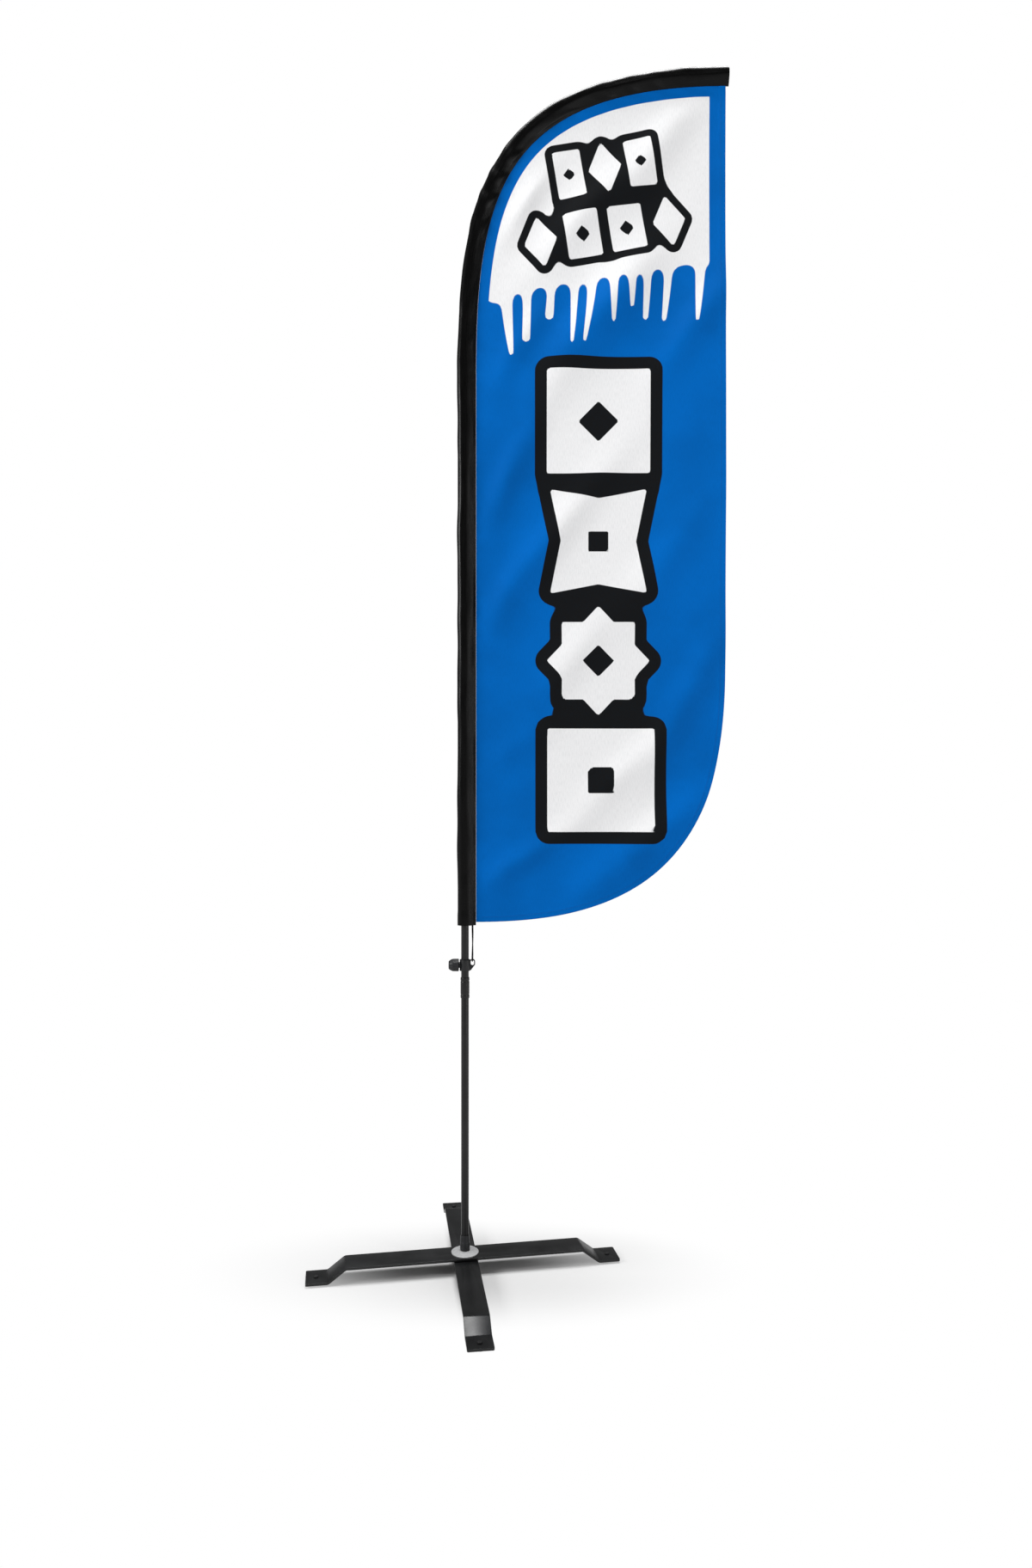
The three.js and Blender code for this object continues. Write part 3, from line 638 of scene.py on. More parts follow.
@dataclass(frozen=True)
class Moulded:
    """Moulded plastic or rubber: spark-eroded grain, slight cloudiness and scuffed ridges."""

    name: str
    colour: Colour
    scuffed: Colour
    roughness: float = 0.5
    grain: float = 0.25
    grain_scale: float = 1500
    ridges: Tuple[float, float] = (0.6, 0.72)
    cloud_scale: float = 45
    scuff_scale: float = 300

    def make(self) -> bpy.types.Material:
        """Mixes the material."""
        bench = Bench(self.name)
        at = bench.coordinates(Place.OBJECT)
        clouds = bench.noise(at, self.cloud_scale, 3)
        fine = bench.noise(at, self.grain_scale, 2, 0.6)
        ridge = bench.level(bench.edges(), self.ridges)
        patches = bench.level(bench.noise(at, self.scuff_scale, 3), (0.4, 0.62))
        scuffs = bench.maths("MULTIPLY", ridge, patches)
        tone = bench.mixed(bench.level(clouds, MIDDLE_OF_NOISE, (0, 0.35)), self.colour, self.scuffed)
        low, high = self.roughness - 0.06, self.roughness + 0.08
        return bench.done(
            Base_Color=bench.mixed(bench.maths("MULTIPLY", scuffs, 0.5), tone, self.scuffed),
            Roughness=bench.level(clouds, MIDDLE_OF_NOISE, (low, high)),
            Specular_IOR_Level=0.3,
            Normal=bench.bump(fine, self.grain, 0.00012),
        )


@dataclass(frozen=True)
class Woven:
    """Cloth or tape of one colour, woven on the piece's own UV map, with slubs and sheen."""

    name: str
    colour: Colour
    lit: Colour
    pitch: float
    roughness: float
    sheen: float
    relief: float = 0.3
    slant: float = 1.0
    gloss: float = 0.2
    slub_scale: float = 500
    cloud_scale: float = 9

    def make(self) -> bpy.types.Material:
        """Mixes the material."""
        bench = Bench(self.name)
        across, along, _ = bench.parts(bench.coordinates(Place.SURFACE))
        turns = 2 * math.pi / self.pitch
        warp = bench.maths("SINE", bench.maths("MULTIPLY", across, turns))
        slanted = bench.maths("ADD", along, bench.maths("MULTIPLY", across, self.slant))
        weft = bench.maths("SINE", bench.maths("MULTIPLY", slanted, turns))
        weave = bench.maths("MULTIPLY", warp, weft)
        slub_at = bench.coordinates(Place.SURFACE, (1, 0.05, 1))
        slubs = bench.noise(slub_at, self.slub_scale, 3, 0.6)
        clouds = bench.noise(bench.coordinates(Place.OBJECT), self.cloud_scale, 3)
        share = bench.maths(
            "ADD",
            bench.level(clouds, MIDDLE_OF_NOISE, (0, 0.4)),
            bench.level(slubs, (0.4, 0.75), (0, 0.4)),
        )
        return bench.done(
            Base_Color=bench.mixed(share, self.colour, self.lit),
            Roughness=bench.level(slubs, MIDDLE_OF_NOISE, (self.roughness - 0.06, self.roughness + 0.06)),
            Specular_IOR_Level=self.gloss,
            Sheen_Weight=self.sheen,
            Sheen_Roughness=0.35,
            Normal=bench.bump(weave, self.relief, 0.00015, bench.bump(slubs, 0.15, 0.0002)),
        )


@dataclass(frozen=True)
class PrintedCloth:
    """Knitted polyester printed through in blue, white and black.

    The piece carries three distances, each below zero inside: of the white panel, of the black
    surround of the blocks, and of the blocks themselves.
    """

    name: str
    ground: Colour
    white: Colour
    black: Colour
    edge: float = 0.0006
    pitch: float = 0.0016
    fibre_scale: float = 700
    cloud_scale: float = 5

    def make(self) -> bpy.types.Material:
        """Mixes the material."""
        bench = Bench(self.name)
        across, along, _ = bench.parts(bench.coordinates(Place.SURFACE))
        turns = 2 * math.pi / self.pitch
        course = bench.maths("SINE", bench.maths("MULTIPLY", along, turns))
        wale = bench.maths("SINE", bench.maths("MULTIPLY", across, turns))
        knit = bench.maths("MULTIPLY", course, wale)
        at = bench.coordinates(Place.OBJECT)
        drawn = bench.coordinates(Place.SURFACE, (1, 0.12, 1))
        fibres = bench.noise(drawn, self.fibre_scale, 3, 0.6)
        clouds = bench.noise(at, self.cloud_scale, 3)
        edge = (-self.edge, self.edge)
        deep = tuple(c * 0.86 for c in self.ground)
        colour = bench.mixed(bench.level(clouds, (0.35, 0.65)), self.ground, deep)
        for mark, ink in (("panel", self.white), ("surround", self.black), ("block", self.white)):
            colour = bench.mixed(bench.level(bench.mark(mark), edge, (1, 0)), colour, ink)
        shade = bench.level(fibres, (0.35, 0.75), (0, 0.1))
        return bench.done(
            Base_Color=bench.mixed(shade, colour, (0.0, 0.02, 0.04)),
            Roughness=bench.level(fibres, MIDDLE_OF_NOISE, (0.62, 0.74)),
            Specular_IOR_Level=0.03,
            Normal=bench.bump(knit, 0.12, 0.0002, bench.bump(fibres, 0.08, 0.0002)),
        )


class Paints:
    """Every finish of the flag, mixed once."""

    def __init__(self, axis: Vector) -> None:
        """Mixes them; axis is the mast's place on the floor, where turning marks centre."""
        hub = (axis.x, axis.y)
        self.coat = CoatedMetal(
            "bar_coat", srgb(8, 9, 10), srgb(72, 73, 74), roughness=0.34, peel=0.25, gloss=0.38
        ).make()
        self.pole = CoatedMetal(
            "pole_black",
            srgb(10, 10, 11),
            srgb(60, 60, 62),
            roughness=0.34,
            peel=0.05,
            lengthwise=40,
            gloss=0.3,
            ridges=(0.72, 0.85),
        ).make()
        self.zinc = BareMetal("zinc_plate", srgb(190, 191, 190), srgb(140, 141, 142), 0.36, hub).make()
        self.flange = BareMetal(
            "flange_zinc", srgb(176, 177, 178), srgb(152, 153, 154), 0.5, hub, metallic=0.4
        ).make()
        self.spring = BareMetal("clip_steel", srgb(96, 98, 102), srgb(60, 62, 66), 0.33, hub).make()
        self.ferrule = BareMetal("ferrule_steel", srgb(170, 172, 174), srgb(120, 122, 124), 0.3, hub).make()
        self.brass = BareMetal("insert_brass", srgb(196, 160, 88), srgb(140, 108, 54), 0.34, hub).make()
        self.rubber = Moulded("foot_rubber", srgb(14, 14, 15), srgb(34, 34, 35), 0.72, 0.5, 900).make()
        self.fibre = Moulded("washer_fibre", srgb(92, 60, 44), srgb(126, 92, 72), 0.85, 0.6, 700).make()
        self.nylon = Moulded("bushing_nylon", srgb(222, 219, 208), srgb(196, 192, 180), 0.5, 0.15).make()
        self.cup = Moulded("cup_plastic", srgb(22, 23, 25), srgb(54, 55, 58), 0.42, 0.2).make()
        self.clamp = Moulded("clamp_plastic", srgb(16, 17, 18), srgb(48, 49, 52), 0.4, 0.22).make()
        self.knob = Moulded("knob_plastic", srgb(15, 16, 17), srgb(44, 45, 48), 0.42, 0.3).make()
        self.glass = CoatedMetal(
            "rod_fibre", srgb(26, 26, 28), srgb(70, 70, 72), roughness=0.45, peel=0.1, lengthwise=60
        ).make()
        self.satin = Woven(
            "sleeve_satin",
            srgb(3, 3, 3),
            srgb(6, 6, 6),
            pitch=0.0012,
            roughness=0.3,
            sheen=0.0,
            relief=0.12,
            gloss=0.11,
        ).make()
        self.webbing = Woven(
            "webbing",
            srgb(20, 20, 21),
            srgb(40, 40, 42),
            pitch=0.0014,
            roughness=0.8,
            sheen=0.2,
            relief=0.7,
            slant=0.0,
        ).make()
        self.braid = Woven(
            "elastic_braid",
            srgb(6, 6, 7),
            srgb(22, 22, 23),
            pitch=0.0011,
            roughness=0.7,
            sheen=0.05,
            relief=0.9,
        ).make()
        self.thread = Woven(
            "thread", srgb(16, 16, 17), srgb(36, 36, 38), pitch=0.0006, roughness=0.7, sheen=0.1
        ).make()
        self.blue_thread = Woven(
            "blue_thread", srgb(0, 78, 150), srgb(10, 98, 178), pitch=0.0006, roughness=0.7, sheen=0.1
        ).make()
        self.cloth = PrintedCloth(
            "printed_cloth", srgb(0, 95, 178), srgb(226, 226, 227), srgb(20, 20, 21)
        ).make()


def dress(piece: bpy.types.Object, paint: bpy.types.Material) -> bpy.types.Object:
    """Gives a piece one material all over."""
    if piece.data.materials:
        for index in range(len(piece.data.materials)):
            piece.material_slots[index].link = "OBJECT"
            piece.material_slots[index].material = paint
    else:
        piece.data.materials.append(paint)
    return piece


def dress_nodes(paints: Dict[str, bpy.types.Material]) -> None:
    """Gives CAD nodes that are shown as they are their material."""
    for node, paint in paints.items():
        dress(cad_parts[node], paint)


def fit(
    piece: bpy.types.Object, body: str, slot: str, paint: bpy.types.Material, *nodes: str
) -> bpy.types.Object:
    """Finishes a new piece: its body, its material and what it stands for.

    Args:
        piece: The piece, in place.
        body: CAD body that it rides on.
        slot: Not used.
        paint: Its material.
        nodes: CAD nodes that it replaces.

    Returns:
        The same piece.
    """
    dress(piece, paint)
    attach(piece, body)
    if nodes:
        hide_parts(*nodes)
    log.info("%s rides on %s, %d faces", piece.name, body, len(piece.data.polygons))
    return piece


# ---- Studio ----


@dataclass
class Lamp:
    """A soft light, square unless its height is given."""

    name: str
    place: Tuple[float, float, float]
    aim: Tuple[float, float, float]
    size: float
    power: float
    height: Optional[float] = None

    def build(self) -> None:
        """Hangs the light and turns it to its aim."""
        light = bpy.data.lights.new(self.name, "AREA")
        light.shape = "RECTANGLE"
        light.size = self.size
        light.size_y = self.height or self.size
        light.energy = self.power
        holder = bpy.data.objects.new(self.name, light)
        holder.location = self.place
        turn = (Vector(self.aim) - Vector(self.place)).to_track_quat("-Z", "Y")
        holder.rotation_euler = turn.to_euler()
        bpy.context.scene.collection.objects.link(holder)


@dataclass
class Studio:
    """Camera, a pale floor with a painted white glow beyond an ellipse round the base, and soft light."""

    axis: Vector
    camera_beside: float = 0.1067
    camera_back: float = 2.178
    camera_height: float = 1.015
    lens: float = 23.9
    floor_half: float = 40.0
    floor_colour: Colour = (0.52, 0.52, 0.52)
    # Painted glow: the floor fades from lamp-lit to glowing white between these distances from the mast's
    # foot, the ellipse squashed across the depth by the factor below.
    painted_glow_fade: Tuple[float, float] = (0.10, 0.62)
    painted_glow_squash: float = 2.4
    sky: float = 0.2
    lamps: Sequence[Lamp] = (
        Lamp("key", (-3.7, -1.6, 2.5), (0.1, 0, 1.6), 1.4, 150),
        Lamp("strip", (2.0, -1.5, 1.4), (0, 0, 1.2), 0.3, 14, height=2.6),
        Lamp("fill", (2.4, -3.0, 1.9), (0.1, 0, 1.4), 2.2, 14),
        Lamp("top", (0.0, 0.3, 6.0), (0, 0.1, 0), 2.5, 400),
    )

    def build_camera(self) -> None:
        """Sets the camera level and square to the cloth."""
        camera = bpy.data.cameras.new("camera")
        camera.lens = self.lens
        camera.sensor_width = 36
        camera.clip_end = 200
        holder = bpy.data.objects.new("camera", camera)
        holder.location = (
            self.axis.x + self.camera_beside,
            self.axis.y - self.camera_back,
            self.camera_height,
        )
        holder.rotation_euler = (math.pi / 2, 0, 0)
        bpy.context.scene.collection.objects.link(holder)
        bpy.context.scene.camera = holder

    def build(self) -> None:
        """Lays the floor, which glows white as painted light beyond an ellipse round the base and takes the
        lamps' light inside it, so a painted shadow pool lies round the base; and sets the lights and the
        white surroundings.
        """
        half = self.floor_half
        corners = np.array([(-half, -half, 0), (half, -half, 0), (half, half, 0), (-half, half, 0)])
        floor = Skin(corners.astype(float), [np.array([[0, 1, 2, 3]])]).make("floor")
        bench = Bench("floor_painted_glow")
        # Painted glow: outside an ellipse round the mast's foot the floor emits white and its colour goes
        # black; inside it keeps its pale colour under the lamps, which paints a soft grey shadow pool round
        # the base.
        x, y, _ = bench.parts(bench.coordinates(Place.OBJECT, centre=self.axis))
        deep = bench.maths("MULTIPLY", y, self.painted_glow_squash)
        square = bench.maths("ADD", bench.maths("MULTIPLY", x, x), bench.maths("MULTIPLY", deep, deep))
        far = bench.level(bench.maths("SQRT", square), self.painted_glow_fade)
        near = bench.mixed(far, self.floor_colour, (0, 0, 0))
        painted_glow = bench.mixed(far, (0, 0, 0), (1, 1, 1))
        paper = bench.done(
            Base_Color=near,
            Roughness=1.0,
            Specular_IOR_Level=0.0,
            Emission_Color=painted_glow,
            Emission_Strength=1.0,
        )
        dress(floor, paper)
        for lamp in self.lamps:
            lamp.build()
        world = bpy.data.worlds.new("surroundings")
        bpy.context.scene.world = world
        world.use_nodes = True
        nodes, links = world.node_tree.nodes, world.node_tree.links
        lit = nodes["Background"]
        lit.inputs["Color"].default_value = (1, 1, 1, 1)
        lit.inputs["Strength"].default_value = self.sky
        seen = nodes.new("ShaderNodeBackground")
        seen.inputs["Color"].default_value = (1, 1, 1, 1)
        either = nodes.new("ShaderNodeMixShader")
        links.new(nodes.new("ShaderNodeLightPath").outputs["Is Camera Ray"], either.inputs[0])
        links.new(lit.outputs[0], either.inputs[1])
        links.new(seen.outputs[0], either.inputs[2])
        links.new(either.outputs[0], nodes["World Output"].inputs["Surface"])
        bpy.context.scene.view_settings.view_transform = "Standard"


# ---- Elastic cord ----


@dataclass
class TensionLine:
    """The elastic cord from the pocket's mouth through the clamp's eye, and its webbing tab.

    Attributes:
        axis: The mast's place on the floor.
        diameter: Of the cord.
        route: Places that it passes through, from the mast's axis and the floor.
        cord_points: Number of places along the drawn cord.
        cord_sides: Number of points round it.
        braid_crossings: Number of swells along it.
        braid_swell: Their height as a share of its radius.
        tab_ribs: Number of ribs up the tab.
        tab_rows: Number of rings in the tab.
        tab_sides: Number of points round it.
        tack_rows: Number of stitches in the tack, on each face.
        thread_radius: Of the tack's thread.
    """

    axis: Vector
    diameter: float = 2.4 * MM
    route: Sequence[Tuple[float, float, float]] = (
        (0.0164, -0.0013, 0.7226), (0.0166, -0.0016, 0.715), (0.0167, -0.0023, 0.700),
        (0.0163, -0.0030, 0.683), (0.0155, -0.0037, 0.664), (0.0151, -0.0041, 0.653),
        (0.0151, -0.0039, 0.648), (0.0152, -0.0025, 0.6452), (0.0155, 0.0, 0.6444),
        (0.0158, 0.0025, 0.6452), (0.0160, 0.0039, 0.648), (0.0162, 0.0041, 0.653),
        (0.0162, 0.0037, 0.664), (0.0159, 0.0030, 0.683), (0.0154, 0.0023, 0.700),
        (0.0151, 0.0016, 0.715), (0.0150, 0.0013, 0.7226),
    )
    cord_points: int = 150
    cord_sides: int = 14
    braid_crossings: int = 46
    braid_swell: float = 0.05
    tab_ribs: int = 9
    tab_rows: int = 25
    tab_sides: int = 28
    tack_rows: int = 4
    thread_radius: float = 0.4 * MM

    def build_cord(self, paints: Paints) -> bpy.types.Object:
        """Makes the cord, whose surface swells by a twentieth where its braid crosses."""
        line = smooth_route(np.array(self.route) + (self.axis.x, self.axis.y, 0), self.cord_points)
        crossing = 2 * math.pi * self.braid_crossings * np.linspace(0, 1, len(line))
        radius = self.diameter / 2 * (1 + self.braid_swell * np.sin(crossing))
        cord = tube_along(line, radius, self.cord_sides).make("elastic_cord")
        dress(cord, paints.braid)
        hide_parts("tension_cord")
        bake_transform(cord)
        log.info("elastic_cord is %.3f m long", line_length(line))
        return cord

    def build_tab(self, paints: Paints) -> None:
        """Makes the folded webbing tab and the bar tack that holds the cord's ends in it.

        The tab's section is a circle whose cosine and sine are raised to 0.3, which squares it;
        it swells at each rib and closes towards its ends by the root of 1 - height^14.
        """
        low, centre, high = (np.array(corner) for corner in room("cord_tab"))
        half = high - centre
        height = np.linspace(-1, 1, self.tab_rows)
        angle = np.linspace(0, 2 * math.pi, self.tab_sides, endpoint=False)
        ribs = 1 + 0.04 * np.sin(math.pi * self.tab_ribs * height)[:, None]
        shut = (1 - np.abs(height[:, None]) ** 14) ** 0.5
        outline = np.stack([np.cos(angle), np.sin(angle)], -1)
        square = np.sign(outline) * np.abs(outline) ** 0.3
        x = centre[0] + half[0] * square[None, :, 0] * (0.94 + 0.06 * shut)
        y = centre[1] + half[1] * square[None, :, 1] * ribs * (0.35 + 0.65 * shut)
        z = np.broadcast_to(centre[2] + half[2] * height[:, None], x.shape)
        points = np.stack([x, y, z], -1)
        rows, columns = points.shape[:2]
        ends = np.array([np.arange(columns), (rows - 1) * columns + np.arange(columns)[::-1]])
        skin = Skin(points.reshape(-1, 3), [lattice(rows, columns, wrap_columns=True), ends])
        skin.uv = np.stack([x, z], -1).reshape(-1, 2)
        fit(skin.faces_out().make("webbing_tab"), "mast", "webbing", paints.webbing, "cord_tab")
        height = np.linspace(low[2] + 0.002, low[2] + 0.006, self.tack_rows)
        places = np.array([(centre[0], side * half[1] * 1.05, z) for z in height for side in (-1, 1)])
        along = np.tile([1.0, 0, 0], (len(places), 1))
        out = np.array([(0, np.sign(place[1]), 0) for place in places])
        tack = stitches(places, along, out, half[0] * 1.5, self.thread_radius).make("tab_tack")
        fit(tack, "mast", "webbing", paints.thread)


# ---- Cross base ----


@dataclass
class CrossBase:
    """Two cranked bars on rubber feet, with the hub's flange, bolt and nut.

    Attributes:
        edge: Rounding of the bars' edges, in metres.
        pad_sides: Number of steps round a foot.
        pad_reach: Radius of its sole; this and the sizes below are in millimetres.
        pad_sole: Height of its sole.
        pad_neck: Radius of its neck.
        pad_head: Radius of its head.
        pad_head_height: Height of its head.
        pad_ridges: Number of rings on its underside.
        ridge_pitch: Distance between them.
        flange_sides: Number of steps round the flange.
        flange_bore: Radius of its hole.
        flange_reach: Its radius.
    """

    edge: float = 1.1 * MM
    pad_sides: int = 48
    pad_reach: float = 15.0
    pad_sole: float = 3.7
    pad_neck: float = 3.7
    pad_head: float = 5.0
    pad_head_height: float = 2.2
    pad_ridges: int = 3
    ridge_pitch: float = 3.2
    flange_sides: int = 96
    flange_bore: float = 4.3
    flange_reach: float = 28.5

    def build_bars(self, paints: Paints) -> None:
        """Rounds the edges of both bars."""
        for node, body in (("upper_bar", "upper_base"), ("lower_bar", "base")):
            bar = softened(node, f"{node}_coated", self.edge)
            fit(bar, body, "bar_coat", paints.coat)

    def build_pads(self, paints: Paints) -> None:
        """Turns the four feet: a ribbed sole, a neck through the bar and a domed head."""
        bodies = {"left": "upper_base", "right": "upper_base", "front": "base", "back": "base"}
        for side, body in bodies.items():
            node = f"foot_pad_{side}"
            top = room(node)[2].z / MM
            grooves = [
                (corner[0] + self.ridge_pitch * ridge, corner[1], 0.3)
                for ridge in range(self.pad_ridges)
                for corner in ((4.0, 0), (4.6, 0.8), (5.6, 0.8), (6.2, 0))
            ]
            reach, neck, head, sole = self.pad_reach, self.pad_neck, self.pad_head, self.pad_sole
            under = top - self.pad_head_height
            profile = rounded(
                [(0, 0, 0), *grooves, (reach - 0.8, 0, 0.8), (reach, 1, 0.8), (reach, sole, 0.9)]
                + [(neck, sole, 0.2), (neck, under, 0.2), (head, under, 0.5)]
                + [(head - 0.4, top - 0.5, 1.4), (0, top, 0)],
                closed=False,
            )
            pad = standing(turned(profile, self.pad_sides, closed=False), node)
            fit(pad.make(f"rubber_{node}", weld=1e-6), body, "foot_rubber", paints.rubber, node)

    def build_hub(self, paints: Paints) -> None:
        """Turns the flange and dresses the hardware on the axle."""
        low, _, high = room("hub_flange")
        height = (high.z - low.z) / MM
        bore, reach = self.flange_bore, self.flange_reach
        profile = rounded(
            [(bore, 0, 0.2), (reach, 0, 0.4), (reach, 2.4, 0.8), (reach - 4, 3.1, 1.5)]
            + [(14.5, height - 0.4, 2.5), (12.5, height, 0.5), (bore, height, 0.3)],
            closed=True,
        )
        disc = standing(turned(profile, self.flange_sides, closed=True), "hub_flange")
        fit(disc.make("hub_flange_plate"), "upper_base", "flange_zinc", paints.flange, "hub_flange")
        for node, width in (("axle_bolt", 0.35), ("hub_nut", 0.5)):
            fit(softened(node, f"{node}_plated", width * MM, 2), "base", "zinc_plate", paints.zinc)
        dress_nodes({"friction_washer": paints.fibre, "retaining_clip": paints.spring})

    def build(self, paints: Paints) -> None:
        """Builds the whole base."""
        self.build_bars(paints)
        self.build_pads(paints)
        self.build_hub(paints)


# ---- Spindle and poles ----


@dataclass
class Spindle:
    """The turning post with its bushings and the cup that the pole stands in.

    Attributes:
        sides: Number of steps round the cup.
        step: Height of its shoulder; this and the sizes below are in millimetres.
        nut_bore: Radius of the room round the hub's nut.
        nut_room: Height of that room.
        post_bore: Radius of the hole for the post.
        pole_bore: Radius of the hole for the pole's foot.
    """

    sides: int = 64
    step: float = 17.2
    nut_bore: float = 8.31
    nut_room: float = 9.2
    post_bore: float = 6.7
    pole_bore: float = 8.3

    def build(self, paints: Paints) -> None:
        """Turns the cup and dresses the post."""
        low, _, high = room("spindle_cup")
        reach = (high.x - low.x) / 2 / MM
        step, rim = self.step, (high.z - low.z) / MM
        post, pole, nut, room_top = self.post_bore, self.pole_bore, self.nut_bore, self.nut_room
        profile = rounded(
            [(nut, 0, 0.3), (reach - 0.4, 0, 0.8), (reach, 1.6, 1.2), (reach, step - 1.5, 1.2)]
            + [(reach - 0.5, step, 1.2), (9.4, rim - 0.8, 0.8), (9.0, rim, 0.4), (pole, rim, 0.3)]
            + [(pole, step - 0.3, 0.2), (post, step - 0.3, 0.2), (post, room_top, 0.2)]
            + [(nut, room_top, 0.2)],
            closed=True,
        )
        cup = standing(turned(profile, self.sides, closed=True), "spindle_cup")
        fit(cup.make("pole_cup"), "spindle", "cup_plastic", paints.cup, "spindle_cup")
        dress_nodes(
            {"spindle_tube": paints.zinc, "lower_bushing": paints.nylon, "upper_bushing": paints.nylon}
        )


@dataclass
class Poles:
    """The plug-together tubes and rods of the mast; radii and heights in millimetres."""

    sides: int = 64
    bore: float = 6.7
    spigot: float = 6.4
    spigot_bore: float = 5.2
    shoulder: float = 70.0
    crimp_depth: float = 0.45

    def tube(
        self, name: str, corners: List[Tuple[float, float, float]], node: str, body: str, paints: Paints
    ) -> None:
        """Puts a turned black tube in a CAD node's place.

        Args:
            name: Name of the piece.
            corners: Radius, height and rounding, the height from the node's foot.
            node: The CAD node.
            body: CAD body that it rides on.
            paints: The finishes.
        """
        skin = turned(rounded(corners, closed=True, steps=3), self.sides, closed=True)
        fit(standing(skin, node).make(name), body, "pole_black", paints.pole, node)

    def build(self, paints: Paints) -> None:
        """Turns the two lower tubes and the coupling, and dresses what the pocket hides."""
        (radius, lower), (outer, grip), (_, upper) = (
            ((high.x - low.x) / 2 / MM, (high.z - low.z) / MM)
            for low, high in map(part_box, ("pole_section_1", "pole_coupling", "pole_section_2"))
        )
        self.tube(
            "lower_tube",
            [(self.bore, 0, 0.3), (radius, 0, 0.5), (radius, lower, 0.5), (self.bore, lower, 0.3)],
            "pole_section_1",
            "lower_pole",
            paints,
        )
        crimped = outer - self.crimp_depth
        crimps = [
            (reach, foot + height, rounding)
            for foot in (6.0, grip - 9.0)
            for reach, height, rounding in (
                (outer, 0, 0.4), (crimped, 0.8, 0.5), (crimped, 2.2, 0.5), (outer, 3.0, 0.4)
            )
        ]
        self.tube(
            "coupling_sleeve",
            [(radius + 0.3, 0, 0.2), (outer - 0.3, 0, 0.3), (outer, 0.8, 0.4), *crimps]
            + [(outer, grip - 1.2, 0.5), (outer - 0.5, grip, 0.4), (radius + 0.3, grip, 0.2)],
            "pole_coupling",
            "lower_pole",
            paints,
        )
        foot, narrow, wide = self.shoulder, self.spigot, self.bore
        self.tube(
            "second_tube",
            [(self.spigot_bore, 0, 0.2), (narrow, 0, 0.5), (narrow, foot - 0.3, 0.2), (radius, foot, 0.3)]
            + [(radius, upper, 0.5), (wide, upper, 0.3), (wide, foot + 4, 0.5)]
            + [(self.spigot_bore, foot + 2.7, 0.5)],
            "pole_section_2",
            "mast",
            paints,
        )
        dress_nodes(
            {
                "pole_section_3": paints.pole,
                "pole_section_4": paints.glass,
                "pole_section_5": paints.glass,
                "ferrule_2": paints.ferrule,
                "ferrule_3": paints.ferrule,
                "ferrule_4": paints.ferrule,
                "tip_cap": paints.rubber,
            }
        )


# ---- Tension clamp ----


@dataclass
class TensionClamp:
    """The collar with its eye, and the knob that locks it.

    Attributes:
        knob_sides: Number of steps round the knob.
        lobes: Number of its hollows.
        lobe_depth: Their depth as a share of its radius.
        stud_bore: Radius of its hole for the stud; this and the sizes below are in millimetres.
        recess: Radius of the recess that faces the collar.
        recess_depth: Depth of that recess.
        cap: Solid end beyond the stud.
    """

    knob_sides: int = 120
    lobes: int = 8
    lobe_depth: float = 0.075
    stud_bore: float = 3.3
    recess: float = 7.0
    recess_depth: float = 4.9
    cap: float = 4.5

    def build_knob(self, paints: Paints) -> None:
        """Turns the knob about its screw.

        Its radius is cut by lobe_depth times the eased share of each hollow, fading to nothing
        at the face by the collar and on the domed end.
        """
        low, centre, high = room("clamp_knob")
        radius, length = (high.y - low.y) / 2 / MM, (high.x - low.x) / MM
        bore, end = self.stud_bore, length - self.cap
        profile = rounded(
            [(0, end, 0), (bore, end, 0.2), (bore, self.recess_depth, 0.2)]
            + [(self.recess, self.recess_depth, 0.4), (self.recess, 0, 0.4)]
            + [(radius - 0.6, 0, 0.3), (radius, 0.6, 0.4), (radius, 7.5, 1.0)]
            + [(radius, 12.5, 4.0), (radius - 2.6, length - 3.2, 4.0), (radius - 5.2, length - 0.3, 2.0)]
            + [(radius - 7.0, length - 0.9, 0.8), (radius - 8.0, length - 1.1, 0.6), (0, length - 1.1, 0)],
            closed=False,
            steps=5,
        )
        angle = np.arange(self.knob_sides) * (2 * math.pi / self.knob_sides)
        hollow = eased((np.cos(self.lobes * angle) - 0.1) / 0.9)
        outside = eased((profile[:, 0] / MM - (radius - 4)) / 3)
        lengthwise = eased((profile[:, 1] / MM - 1.5) / 3)
        flutes = 1 - self.lobe_depth * hollow[:, None] * (outside * lengthwise)[None]
        skin = turned(profile, self.knob_sides, closed=False, flutes=flutes)
        x, y, z = skin.points.T
        skin.points = np.stack([high.x - z, centre.y + y, centre.z + x], -1)
        knob = skin.faces_out().make("locking_knob", weld=1e-6)
        fit(knob, "thumb_screw", "knob_plastic", paints.knob, "clamp_knob")

    def build(self, paints: Paints) -> None:
        """Builds the clamp."""
        collar = softened("clamp_collar", "clamp_collar_moulded", 0.45 * MM)
        fit(collar, "clamp", "clamp_plastic", paints.clamp)
        self.build_knob(paints)
        dress_nodes(
            {"clamp_insert": paints.brass, "clamp_stud": paints.zinc, "pressure_pad": paints.nylon}
        )


# ---- Bent mast line, shared by pocket and cloth ----


